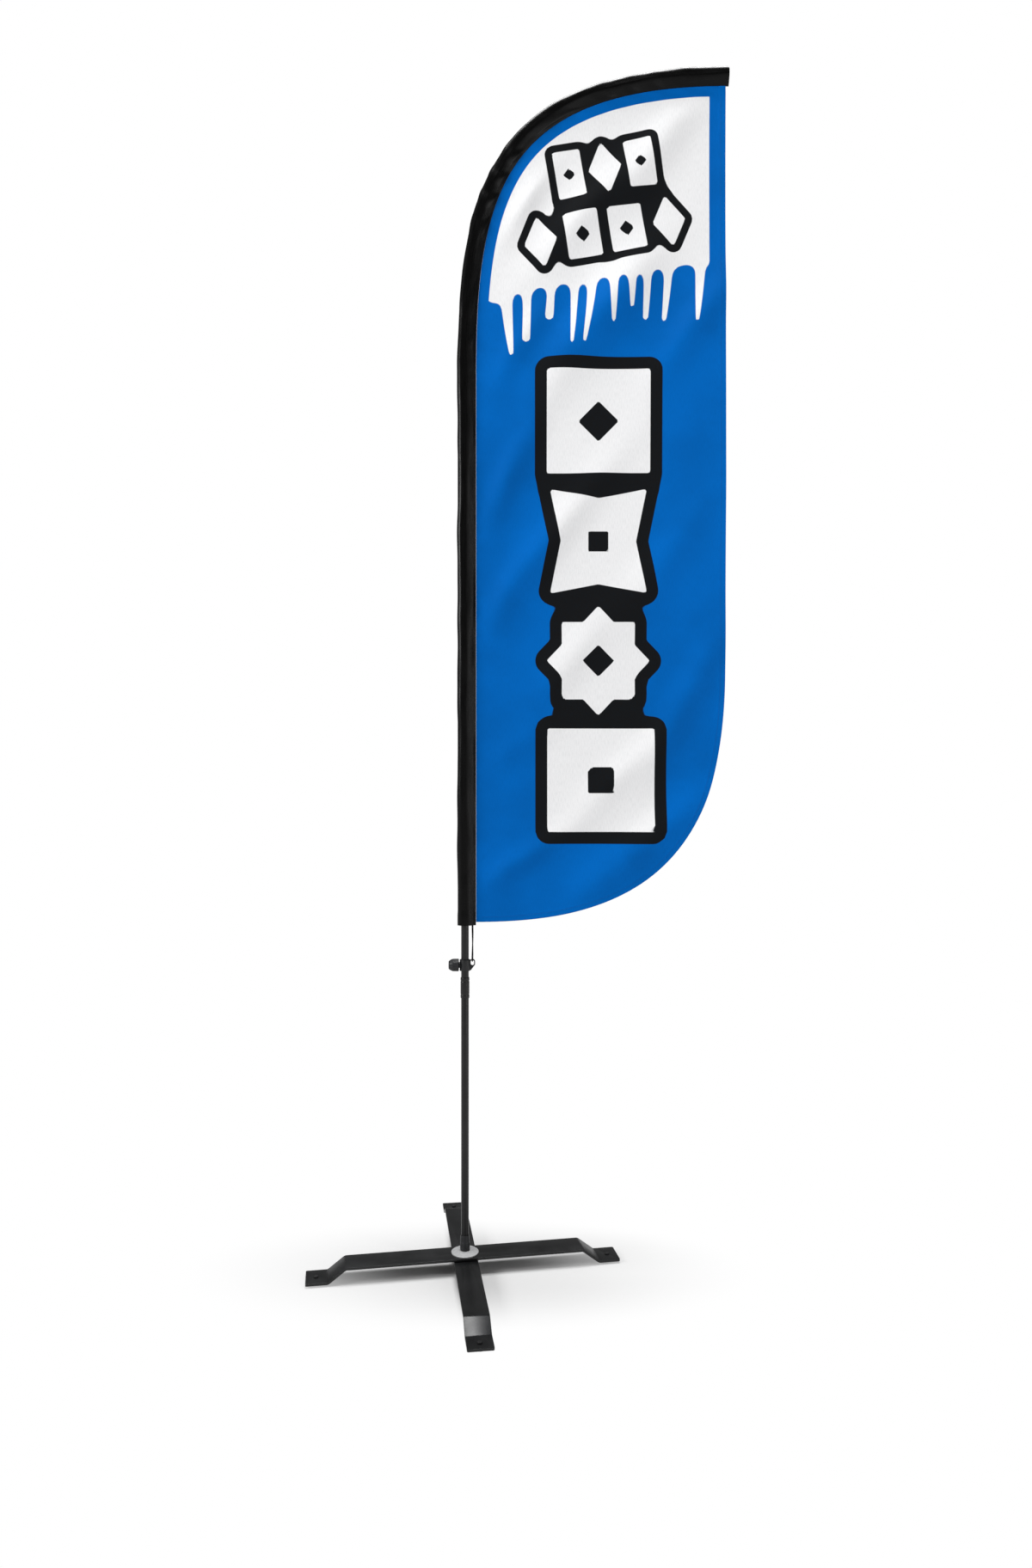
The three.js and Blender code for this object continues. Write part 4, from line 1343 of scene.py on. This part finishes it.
@dataclass
class MastLine:
    """The mast's axis: upright, then a cubic bend that ends level.

    Attributes:
        axis: The mast's place on the floor.
        end: Its upper end.
        rise: Height of the bend.
        upright_handle: Pull of the bend's upright start.
        level_handle: Pull of its level end.
    """

    axis: Vector
    end: Vector
    rise: float = 0.6269
    upright_handle: float = 0.375
    level_handle: float = 0.5

    @property
    def bend_start(self) -> float:
        """Height at which the bend starts."""
        return self.end.z - self.rise

    def bend(self) -> Array:
        """The bend, finely drawn."""
        return curve(
            [
                (self.axis.x, 0, self.bend_start),
                (self.axis.x, 0, self.bend_start + self.upright_handle),
                (self.end.x - self.level_handle, 0, self.end.z),
                (self.end.x, 0, self.end.z),
            ],
            2000,
        )

    def line(self, foot: float, step: float, short: float = 0.0) -> Tuple[Array, Array, Array]:
        """The axis from a height on.

        Args:
            foot: Height at which it starts.
            step: Distance between its places.
            short: How far before the mast's end it stops.

        Returns:
            The places, their directions, and the distance of each from the foot.
        """
        upright = np.array([(self.axis.x, 0, foot), (self.axis.x, 0, self.bend_start - 1e-4)])
        whole = np.vstack([upright, self.bend()])
        total = line_length(whole)
        count = int(round(total / step)) + 1
        places = evenly(whole, 8 * count)
        along = np.linspace(0, total, 8 * count)
        wanted = np.linspace(0, total - short, count)
        places = np.stack([np.interp(wanted, along, places[:, k]) for k in range(3)], -1)
        return places, unit(np.gradient(places, axis=0)), wanted


def beside(direction: Array) -> Array:
    """Directions square to the mast, towards the cloth."""
    return np.stack([direction[:, 2], 0 * direction[:, 0], -direction[:, 0]], -1)


# ---- Pole pocket ----


@dataclass
class Pocket:
    """The satin pocket along the mast and its closed end."""

    mast: MastLine
    back: float = 15.5 * MM
    front: float = 23.0 * MM
    half: float = 11.0 * MM
    shoulder: float = 7.0 * MM
    narrows_from: float = 2.0 * MM
    seam_half: float = 1.5 * MM
    wall: float = 1.2 * MM
    step: float = 5.0 * MM
    around: int = 72
    hem: float = 24.0 * MM
    hem_step: float = 0.55 * MM
    wrinkle: float = 1.3 * MM
    pucker: float = 2.4 * MM
    crown: float = 1.2 * MM
    inset: float = 4.0 * MM
    smoothing: int = 12
    full_bend: float = 2.2

    def outline(self, inset: float, front: float, seam_half: float) -> Array:
        """The pocket's section: a half round behind, straight sides, and a slope to the seam.

        Args:
            inset: How far inside the outer surface it lies.
            front: Distance of its front from the mast's axis.
            seam_half: Half thickness at its front.

        Returns:
            Places (thickness, towards the cloth), in order round, from the seam's front face.
        """
        half = self.half - inset
        centre = self.half - self.back
        slope = curve([(-seam_half, front), (-half, self.shoulder), (-half, self.narrows_from)], 40)
        angle = np.linspace(math.pi, 2 * math.pi, 60)
        arc = np.stack([half * np.cos(angle), centre + half * np.sin(angle)], -1)
        other = slope[::-1] * (-1, 1)
        whole = np.vstack([slope, arc, other])
        return evenly(whole, self.around)

    def wrinkles(self, along: Array, round_it: Array, bent: Array) -> Array:
        """How far the satin stands out from its pattern.

        A sum of sines with different lengths, slants and starts, kept outwards, plus cross
        puckers in the bend that are strongest near the seam.

        Args:
            along: Distance from the mouth.
            round_it: Share of the way round the section, 0 and 1 at the seam.
            bent: How sharply the mast bends there, 0 to 1.

        Returns:
            The distance, for each place along and round.
        """
        s, r, b = along[:, None], round_it[None, :], bent[:, None]
        waves = (
            0.45 * np.sin(2 * math.pi * (s / 0.31 + 1.1 * r) + 0.4)
            + 0.35 * np.sin(2 * math.pi * (s / 0.173 - 1.7 * r) + 2.1)
            + 0.3 * np.sin(2 * math.pi * (s / 0.467 + 2.3 * r) + 4.0)
            + 0.2 * np.sin(2 * math.pi * (s / 0.094 + 0.6 * r) + 1.2)
        )
        loose = 0.35 + 0.65 * np.sin(math.pi * r) ** 0.5
        slack = self.wrinkle * np.maximum(waves + 0.25, -0.15) * loose
        phase = s / 0.083 + 0.5 * np.sin(2 * math.pi * s / 0.39) + 0.3 * np.sin(2 * math.pi * r)
        near_seam = 0.45 + 0.55 * np.abs(2 * r - 1) ** 1.5
        cross = self.pucker * b * near_seam * np.maximum(np.sin(2 * math.pi * phase), -0.2)
        ends = np.minimum(r, 1 - r) * 12
        return (slack + cross) * eased(ends)

    def build_sleeve(self, paints: Paints) -> bpy.types.Object:
        """Carries the wrinkled section along the mast, as a closed wall with an open mouth."""
        low, _, high = room("sleeve")
        places, direction, along = self.mast.line(low.z, self.step, self.mast.end.x - high.x)
        turn = np.linalg.norm(np.gradient(direction, along, axis=0), axis=1)
        window = 2 * self.smoothing + 1
        padded = np.pad(turn, self.smoothing, mode="edge")
        bent = np.convolve(padded, np.ones(window) / window, mode="valid")
        bent = np.clip(bent / self.full_bend, 0, 1)
        share = np.linspace(0, 1, self.around)
        outer = self.outline(0, self.front, self.seam_half)
        inner = self.outline(self.wall, self.front - 2.5 * MM, 0.3 * MM)
        out = self.wrinkles(along, share, bent)
        near_mouth = 1 - eased((along - self.hem) / (2 * MM))
        hem = self.hem_step * near_mouth[:, None] * eased(np.minimum(share, 1 - share) * 14)
        shells = []
        for outline, extra in ((outer, out + hem), (inner, out)):
            edge = np.gradient(outline, axis=0)
            normal = unit(np.stack([edge[:, 1], -edge[:, 0]], -1))
            if (normal[self.around // 2] * (0, -1)).sum() < 0:
                normal = -normal
            section = outline[None] + extra[..., None] * normal[None]
            shells.append(
                places[:, None]
                + section[..., :1] * np.array([0, 1.0, 0])
                + section[..., 1:] * beside(direction)[:, None]
            )
        rows, columns = shells[0].shape[:2]
        outside = lattice(rows, columns, wrap_columns=True)
        inside = outside[:, ::-1] + rows * columns
        count = rows * columns
        first = np.arange(columns)
        last = first + count - columns
        mouth, top = band(first, first + count), band(last + count, last)
        points = np.vstack([shell.reshape(-1, 3) for shell in shells])
        skin = Skin(points, [outside, inside, mouth, top])
        uv = np.stack(np.broadcast_arrays(run_along(outer)[None], along[:, None]), -1).reshape(-1, 2)
        skin.uv = np.vstack([uv, uv])
        sleeve = fit(skin.faces_out().make("satin_pocket"), "mast", "sleeve_satin", paints.satin, "sleeve")
        return sleeve

    def build_end(self, paints: Paints) -> None:
        """Closes the pocket's top with a stitched flat patch, a little crowned."""
        low, _, high = room("sleeve_end_patch")
        outline = self.outline(0, self.front, self.seam_half)
        rings = np.linspace(1, 0, 12) ** 0.8
        centre = np.array([0, self.narrows_from])
        crown = self.crown * (1 - rings**2)
        flat = centre + (outline - centre)[None] * rings[:, None, None]
        y = flat[..., 0]
        z = self.mast.end.z - flat[..., 1]
        front = np.stack([np.broadcast_to((high.x + crown)[:, None], y.shape), y, z], -1)
        back = np.stack([np.full(y.shape, low.x), y, z], -1)
        rows, columns = y.shape
        count = rows * columns
        face = lattice(rows, columns, wrap_columns=True)
        first = np.arange(columns)
        blocks = [face, face[:, ::-1] + count, band(first + count, first)]
        skin = Skin(np.vstack([front.reshape(-1, 3), back.reshape(-1, 3)]), blocks)
        skin.uv = np.vstack([np.stack([y, z], -1).reshape(-1, 2)] * 2)
        patch = skin.faces_out().make("pocket_end", weld=1e-7)
        fit(patch, "mast", "sleeve_satin", paints.satin, "sleeve_end_patch")

    def build_stitches(self, paints: Paints) -> None:
        """Sews the seam beside the cloth and the mouth's hem."""
        foot = room("sleeve")[0].z + self.inset
        places, direction, _ = self.mast.line(foot, STITCH_PITCH, self.inset)
        side = beside(direction)
        seam = places + side * (self.front - 2.2 * MM)
        rows = []
        for sign in (-1, 1):
            out = np.tile([0.0, sign, 0], (len(seam), 1))
            lift = np.array([0, sign * (self.seam_half + 0.45 * MM), 0])
            rows.append(stitches(seam + lift, direction, out, 3.4 * MM, STITCH_RADIUS))
        thread = rows[0].joined(rows[1]).make("pocket_seam_stitches")
        fit(thread, "mast", "sleeve_satin", paints.thread)


# ---- Printed cloth ----


@dataclass(frozen=True)
class Fold:
    """A soft ridge in the cloth.

    Attributes:
        place: Its middle, from the mast's axis and the floor.
        slant: Angle of its line above level, in degrees.
        length: Distance over which it fades.
        width: Half its width.
        height: How far it stands towards the front.
    """

    place: Tuple[float, float]
    slant: float
    length: float
    width: float
    height: float

    def rise(self, x: Array, z: Array) -> Array:
        """Height at places: a bell curve across its line times a wider one along it."""
        angle = math.radians(self.slant)
        dx, dz = x - self.place[0], z - self.place[1]
        along = dx * math.cos(angle) + dz * math.sin(angle)
        across = -dx * math.sin(angle) + dz * math.cos(angle)
        return self.height * np.exp(-((across / self.width) ** 2) - (along / self.length) ** 2)


class Outline(Enum):
    """Plain block shapes of the print, as corners in a square from -1 to 1."""

    SQUARE = ((-1, -1), (1, -1), (1, 1), (-1, 1))
    DIAMOND = ((0, -1), (1, 0), (0, 1), (-1, 0))
    NOTCHED = ((-1, -1), (0, -0.82), (1, -1), (0.78, 0), (1, 1), (0, 0.82), (-1, 1), (-0.78, 0))
    STAR = tuple(
        (math.cos(k * math.pi / 8) * (1.05, 0.8)[k % 2], math.sin(k * math.pi / 8) * (1.05, 0.8)[k % 2])
        for k in range(16)
    )


@dataclass(frozen=True)
class Block:
    """One printed block, perhaps with an opening of another shape.

    Attributes:
        place: Its middle, from the mast's axis and the floor.
        half: Half its width and half its height.
        outline: Its shape.
        opening: Shape of the opening in its middle.
        opening_share: Size of the opening as a share of the block.
        slant: How far it is turned, in degrees.
    """

    place: Tuple[float, float]
    half: Tuple[float, float]
    outline: Outline
    opening: Optional[Outline] = None
    opening_share: float = 0.3
    slant: float = 0.0

    def distance(self, x: Array, z: Array) -> Tuple[Array, Array]:
        """Distances of places from the block, below zero inside.

        Returns:
            The distance from the block without its opening, and with it.
        """
        angle = math.radians(self.slant)
        dx, dz = x - self.place[0], z - self.place[1]
        across = dx * math.cos(angle) + dz * math.sin(angle)
        up = -dx * math.sin(angle) + dz * math.cos(angle)
        size = np.array(self.half)
        whole = polygon_distance(np.array(self.outline.value) * size, across, up)
        if self.opening is None:
            return whole, whole
        shape = np.array(self.opening.value) * size.min() * self.opening_share
        return whole, np.maximum(whole, -polygon_distance(shape, across, up))


def polygon_distance(corners: Array, x: Array, z: Array) -> Array:
    """Distance of places from a convex or hollow polygon, below zero inside.

    The distance is the least over its sides; a place is inside where a level ray from it
    crosses an odd number of sides.

    Args:
        corners: The polygon's corners, one row each.
        x: First coordinates of the places.
        z: Second coordinates.

    Returns:
        The distances.
    """
    nearest = np.full(x.shape, np.inf)
    inside = np.zeros(x.shape, bool)
    for (ax, az), (bx, bz) in zip(corners, np.roll(corners, -1, axis=0)):
        ex, ez = bx - ax, bz - az
        share = np.clip(((x - ax) * ex + (z - az) * ez) / (ex * ex + ez * ez), 0, 1)
        nearest = np.minimum(nearest, np.hypot(x - ax - share * ex, z - az - share * ez))
        straddles = (az > z) != (bz > z)
        with np.errstate(divide="ignore", invalid="ignore"):
            crossing = ax + (z - az) * ex / (ez if ez else np.inf)
        inside ^= straddles & (x < crossing)
    return np.where(inside, -nearest, nearest)


def melted(first: Array, second: Array, width: float) -> Array:
    """The lesser of two distances, with the join between the shapes rounded over a width."""
    share = np.clip(0.5 + 0.5 * (second - first) / width, 0, 1)
    return second + (first - second) * share - width * share * (1 - share)


@dataclass(frozen=True)
class Drip:
    """One drip of the white panel's foot.

    Attributes:
        root: Distance of its root from the mast's axis.
        tip: Middle of its round tip, from the mast's axis and the floor.
        root_half: Half its width at the root.
        tip_half: Radius of the tip.
    """

    root: float
    tip: Tuple[float, float]
    root_half: float
    tip_half: float


@dataclass
class Print:
    """The print: a white panel with a dripping foot, two short rows and a column of blocks.

    The blocks lie on black surrounds, and a black spine joins the column's.
    """

    seam_band: float = 0.022
    edge_band: float = 0.034
    surround_large: float = 0.029
    surround_small: float = 0.0195
    rounding: float = 0.004
    column: Sequence[Block] = (
        Block((0.279, 1.773), (0.104, 0.104), Outline.SQUARE, Outline.DIAMOND, 0.46),
        Block((0.279, 1.523), (0.096, 0.104), Outline.NOTCHED, Outline.SQUARE, 0.26),
        Block((0.279, 1.273), (0.098, 0.104), Outline.STAR, Outline.DIAMOND, 0.40),
        Block((0.284, 1.023), (0.108, 0.104), Outline.SQUARE, Outline.SQUARE, 0.30),
    )
    spine: Block = Block((0.281, 1.398), (0.066, 0.440), Outline.SQUARE)
    rows: Sequence[Block] = (
        Block((0.218, 2.289), (0.025, 0.046), Outline.SQUARE, Outline.DIAMOND, 0.75, slant=9.5),
        Block((0.292, 2.301), (0.030, 0.050), Outline.DIAMOND, slant=9.5),
        Block((0.366, 2.313), (0.025, 0.046), Outline.SQUARE, Outline.DIAMOND, 0.75, slant=9.5),
        Block((0.158, 2.146), (0.030, 0.048), Outline.DIAMOND, slant=9.5),
        Block((0.246, 2.161), (0.032, 0.043), Outline.SQUARE, Outline.DIAMOND, 0.68, slant=9.5),
        Block((0.338, 2.176), (0.032, 0.043), Outline.SQUARE, Outline.DIAMOND, 0.68, slant=9.5),
        Block((0.426, 2.191), (0.030, 0.048), Outline.DIAMOND, slant=9.5),
    )
    backing: float = 0.03
    drips: Sequence[Drip] = (
        Drip(0.0600, (0.0600, 2.034), 0.0120, 0.0110),
        Drip(0.0864, (0.0968, 1.914), 0.0130, 0.0042),
        Drip(0.1300, (0.1280, 1.945), 0.0085, 0.0080),
        Drip(0.1800, (0.1762, 1.993), 0.0075, 0.0088),
        Drip(0.2290, (0.2227, 1.934), 0.0085, 0.0028),
        Drip(0.2660, (0.2493, 1.937), 0.0095, 0.0032),
        Drip(0.3100, (0.3094, 1.978), 0.0095, 0.0034),
        Drip(0.3480, (0.3480, 2.010), 0.0085, 0.0032),
        Drip(0.3810, (0.3767, 1.988), 0.0078, 0.0052),
        Drip(0.4244, (0.4154, 1.985), 0.0090, 0.0044),
        Drip(0.4920, (0.4836, 1.982), 0.0110, 0.0034),
    )
    arch: float = 0.024
    foot_line: Tuple[float, float, float] = (0.059, 2.037, 0.155)
    far: float = 0.2

    def panel(self, x: Array, z: Array, seam: Array, edge: Array) -> Array:
        """Distance from the white panel.

        The panel keeps its bands from seam and free edge, ends on a rising line, and hangs in
        drips: each a wedge that narrows to a round tip, melted into the line.

        Args:
            x: Distance of each place from the mast's axis.
            z: Height of each place.
            seam: Its distance from the seam.
            edge: Its distance from the free edge.

        Returns:
            The distance, below zero inside.
        """
        start, height, rise = self.foot_line
        foot = height + rise * (x - start)
        shape = foot - z
        for drip in self.drips:
            top = height + rise * (drip.root - start)
            share = np.clip((top - z) / (top - drip.tip[1]), 0, 1)
            width = drip.tip_half + (drip.root_half - drip.tip_half) * (1 - share) ** 0.8
            middle_line = drip.root + (drip.tip[0] - drip.root) * share**1.4
            over = np.hypot(x - middle_line, z - np.clip(z, drip.tip[1], top + 0.02)) - width
            shape = melted(shape, over, self.arch)
        return np.maximum(np.maximum(shape, self.seam_band - seam), self.edge_band - edge)

    def fields(self, x: Array, z: Array, seam: Array, edge: Array) -> Dict[str, Array]:
        """The three distances that the cloth's material reads."""
        surround = self.spine.distance(x, z)[0]
        block = np.full(x.shape, np.inf)
        for shapes, band in ((self.column, self.surround_large), (self.rows, self.surround_small)):
            for shape in shapes:
                whole, cut = shape.distance(x, z)
                surround = melted(surround, whole - band, self.backing)
                block = np.minimum(block, cut - self.rounding)
        marks = {"panel": self.panel(x, z, seam, edge), "surround": surround, "block": block}
        return {name: np.clip(distance, -self.far, self.far) for name, distance in marks.items()}


@dataclass
class Banner:
    """The printed cloth: its shape, its folds, its hem and its stitches."""

    mast: MastLine
    design: Print
    seam_beside: float = 23.3 * MM
    thickness: float = 1.2 * MM
    corner_height: float = 0.5225
    corner_handle: float = 0.366
    columns: int = 116
    corner_rows: int = 58
    bend_rows: int = 125
    border_points: int = 420
    row_step: float = 5.0 * MM
    hem: float = 13.0 * MM
    hem_step: float = 0.5 * MM
    pucker: float = 0.7 * MM
    folds: Sequence[Fold] = (
        Fold((0.101, 0.849), 31, 0.156, 0.024, 0.0101),
        Fold((0.383, 0.895), 38, 0.217, 0.038, 0.0144),
        Fold((0.096, 1.086), 30, 0.121, 0.024, 0.0055),
        Fold((0.142, 1.484), 51, 0.260, 0.034, 0.0130),
        Fold((0.072, 1.633), 61, 0.173, 0.030, 0.0114),
        Fold((0.279, 1.990), 51, 0.182, 0.048, 0.0202),
        Fold((0.458, 1.190), 62, 0.161, 0.034, 0.0130),
        Fold((0.319, 1.030), 42, 0.100, 0.030, 0.0092),
        Fold((0.479, 1.973), 55, 0.129, 0.032, 0.0111),
        Fold((0.100, 2.317), 50, 0.127, 0.034, 0.0156),
        Fold((0.110, 2.214), 54, 0.107, 0.026, 0.0112),
        Fold((0.238, 2.195), 50, 0.144, 0.036, 0.0128),
        Fold((0.396, 2.336), 54, 0.151, 0.038, 0.0117),
        Fold((0.213, 1.267), 52, 0.142, 0.036, 0.0082),
        Fold((0.425, 1.494), 56, 0.156, 0.040, 0.0099),
        Fold((0.114, 1.937), 56, 0.118, 0.028, 0.0074),
    )

    def __post_init__(self) -> None:
        """Works out the cloth's borders."""
        low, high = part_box("flag_panel")
        self.foot, self.reach = low.z, high.x
        places, direction, _ = self.mast.line(low.z, 4 * MM)
        seam = places + beside(direction) * self.seam_beside
        self.seam = seam[seam[:, 0] < self.reach]
        left = self.mast.axis.x + self.seam_beside
        self.corner = curve(
            [
                (left, self.foot),
                (left + self.corner_handle, self.foot),
                (self.reach, self.foot + self.corner_height - self.corner_handle),
                (self.reach, self.foot + self.corner_height),
            ],
            400,
        )
        self.free_edge = np.vstack([self.corner, (self.reach, self.seam[-1, 2])])

    def heights(self) -> Array:
        """Heights of the grid's rows, closer where a border runs level."""
        corner = evenly(self.corner, self.corner_rows)[:, 1]
        bend = self.seam[self.seam[:, 2] > self.mast.bend_start]
        arc = evenly(bend[:, [0, 2]], self.bend_rows)[:, 1]
        count = int((arc[0] - corner[-1]) / self.row_step)
        straight = np.linspace(corner[-1], arc[0], count + 2)[1:-1]
        return np.concatenate([corner, straight, arc])

    def distance_to(self, line: Array, x: Array, z: Array) -> Array:
        """Least distance of places from a finely drawn border."""
        points = evenly(line, self.border_points)
        return np.hypot(x[..., None] - points[:, 0], z[..., None] - points[:, 1]).min(axis=-1)

    def lean(self, x: Array, z: Array, seam: Array) -> Array:
        """How far the cloth stands from its plane, towards the back.

        The folds, a slow billow across the cloth, and short puckers along the seam, all fading
        to nothing at the seam.

        Args:
            x: Row-frame place along X.
            z: Height.
            seam: Distance from the seam.

        Returns:
            The distance along Y.
        """
        out = x - self.mast.axis.x
        ridges = sum(fold.rise(out, z) for fold in self.folds)
        billow = 0.006 * np.sin(2 * math.pi * (z / 1.3 + out * 0.7)) * np.clip(seam / 0.35, 0, 1)
        gathered = self.pucker * np.sin(2 * math.pi * (z + 0.6 * out) / 0.043)
        gathered = gathered * np.exp(-seam / 0.016) * eased(seam / 0.006)
        return (billow - ridges) * eased(seam / 0.07) + gathered

    def build_cloth(self, paints: Paints) -> bpy.types.Object:
        """Lays the grid between seam and free edge and gives it two faces and a border.

        Row by row a place runs evenly from the seam to the free edge at that height; both faces
        stand half the thickness from the middle, and more in the hem.
        """
        z = self.heights()
        left = np.interp(z, self.seam[:, 2], self.seam[:, 0])
        right = np.interp(z, self.free_edge[:, 1], self.free_edge[:, 0])
        share = np.linspace(0, 1, self.columns)
        x = left[:, None] + (right - left)[:, None] * share
        z = np.broadcast_to(z[:, None], x.shape)
        seam = self.distance_to(self.seam[:, [0, 2]], x, z)
        edge = self.distance_to(self.free_edge, x, z)
        y = self.lean(x, z, seam)
        hem = self.hem_step * (1 - eased((edge - self.hem) / (1.5 * MM)))
        half = self.thickness / 2 + hem * eased(edge / (1.5 * MM))
        rows, columns = x.shape
        count = rows * columns
        front = np.stack([x, y - half, z], -1).reshape(-1, 3)
        back = np.stack([x, y + half, z], -1).reshape(-1, 3)
        face = lattice(rows, columns)
        row = np.arange(rows - 1)
        sides = []
        for column in (0, columns - 1):
            near, far = row * columns + column, (row + 1) * columns + column
            ring = np.stack([near, far, far + count, near + count], -1)
            sides.append(ring if column == 0 else ring[:, ::-1])
        skin = Skin(np.vstack([front, back]), [face, face[:, ::-1] + count, *sides])
        flat = np.stack([x - self.mast.axis.x, z - self.foot], -1).reshape(-1, 2)
        skin.uv = np.vstack([flat, flat])
        inks = self.design.fields(x - self.mast.axis.x, z, seam, edge)
        skin.marks = {name: np.concatenate([ink.ravel()] * 2) for name, ink in inks.items()}
        cloth = skin.faces_out().make("printed_banner", weld=1e-6)
        fit(cloth, "mast", "printed_cloth", paints.cloth, "flag_panel")
        return cloth

    def build_stitches(self, paints: Paints) -> None:
        """Sews the hem along the free edge, on both faces."""
        line = evenly(self.free_edge, int(line_length(self.free_edge) / STITCH_PITCH))
        direction = unit(np.gradient(line, axis=0))
        inward = np.stack([-direction[:, 1], direction[:, 0]], -1)
        sewn = (line + inward * (self.hem - 2.5 * MM))[3:-5]
        direction = direction[3:-5]
        seam = self.distance_to(self.seam[:, [0, 2]], sewn[:, 0], sewn[:, 1])
        keep = seam > 10 * MM
        sewn, direction, seam = sewn[keep], direction[keep], seam[keep]
        y = self.lean(sewn[:, 0], sewn[:, 1], seam)
        ahead = sewn + direction * MM
        slope = (self.lean(ahead[:, 0], ahead[:, 1], seam) - y) / MM
        along = unit(np.stack([direction[:, 0], slope, direction[:, 1]], -1))
        rows = []
        for sign in (-1, 1):
            out = np.tile([0.0, sign, 0.0], (len(sewn), 1))
            out = unit(out - (out * along).sum(1)[:, None] * along)
            lift = sign * (self.thickness / 2 + self.hem_step + 0.1 * MM)
            places = np.stack([sewn[:, 0], y + lift, sewn[:, 1]], -1)
            rows.append(stitches(places, along, out, 3.2 * MM, STITCH_RADIUS))
        thread = rows[0].joined(rows[1]).make("banner_hem_stitches")
        fit(thread, "mast", "printed_cloth", paints.blue_thread)


# ---- The whole ----


def main() -> None:
    """Builds the flag's looks, camera and cord first."""
    logging.basicConfig(level=logging.INFO, format="%(name)s: %(message)s")
    _, axis, _ = room("pole_section_1")
    axis.z = 0
    studio = Studio(axis)
    studio.build_camera()
    paints = Paints(axis)
    line = TensionLine(axis)
    line.build_cord(paints)
    line.build_tab(paints)
    studio.build()
    CrossBase().build(paints)
    Spindle().build(paints)
    Poles().build(paints)
    TensionClamp().build(paints)
    _, _, patch_high = room("sleeve_end_patch")
    end = Vector((patch_high.x, axis.y, patch_high.z - Pocket.back))
    mast = MastLine(axis, end)
    pocket = Pocket(mast)
    pocket.build_sleeve(paints)
    pocket.build_end(paints)
    pocket.build_stitches(paints)
    banner = Banner(mast, Print())
    banner.build_cloth(paints)
    banner.build_stitches(paints)


if __name__ == "__main__":
    main()
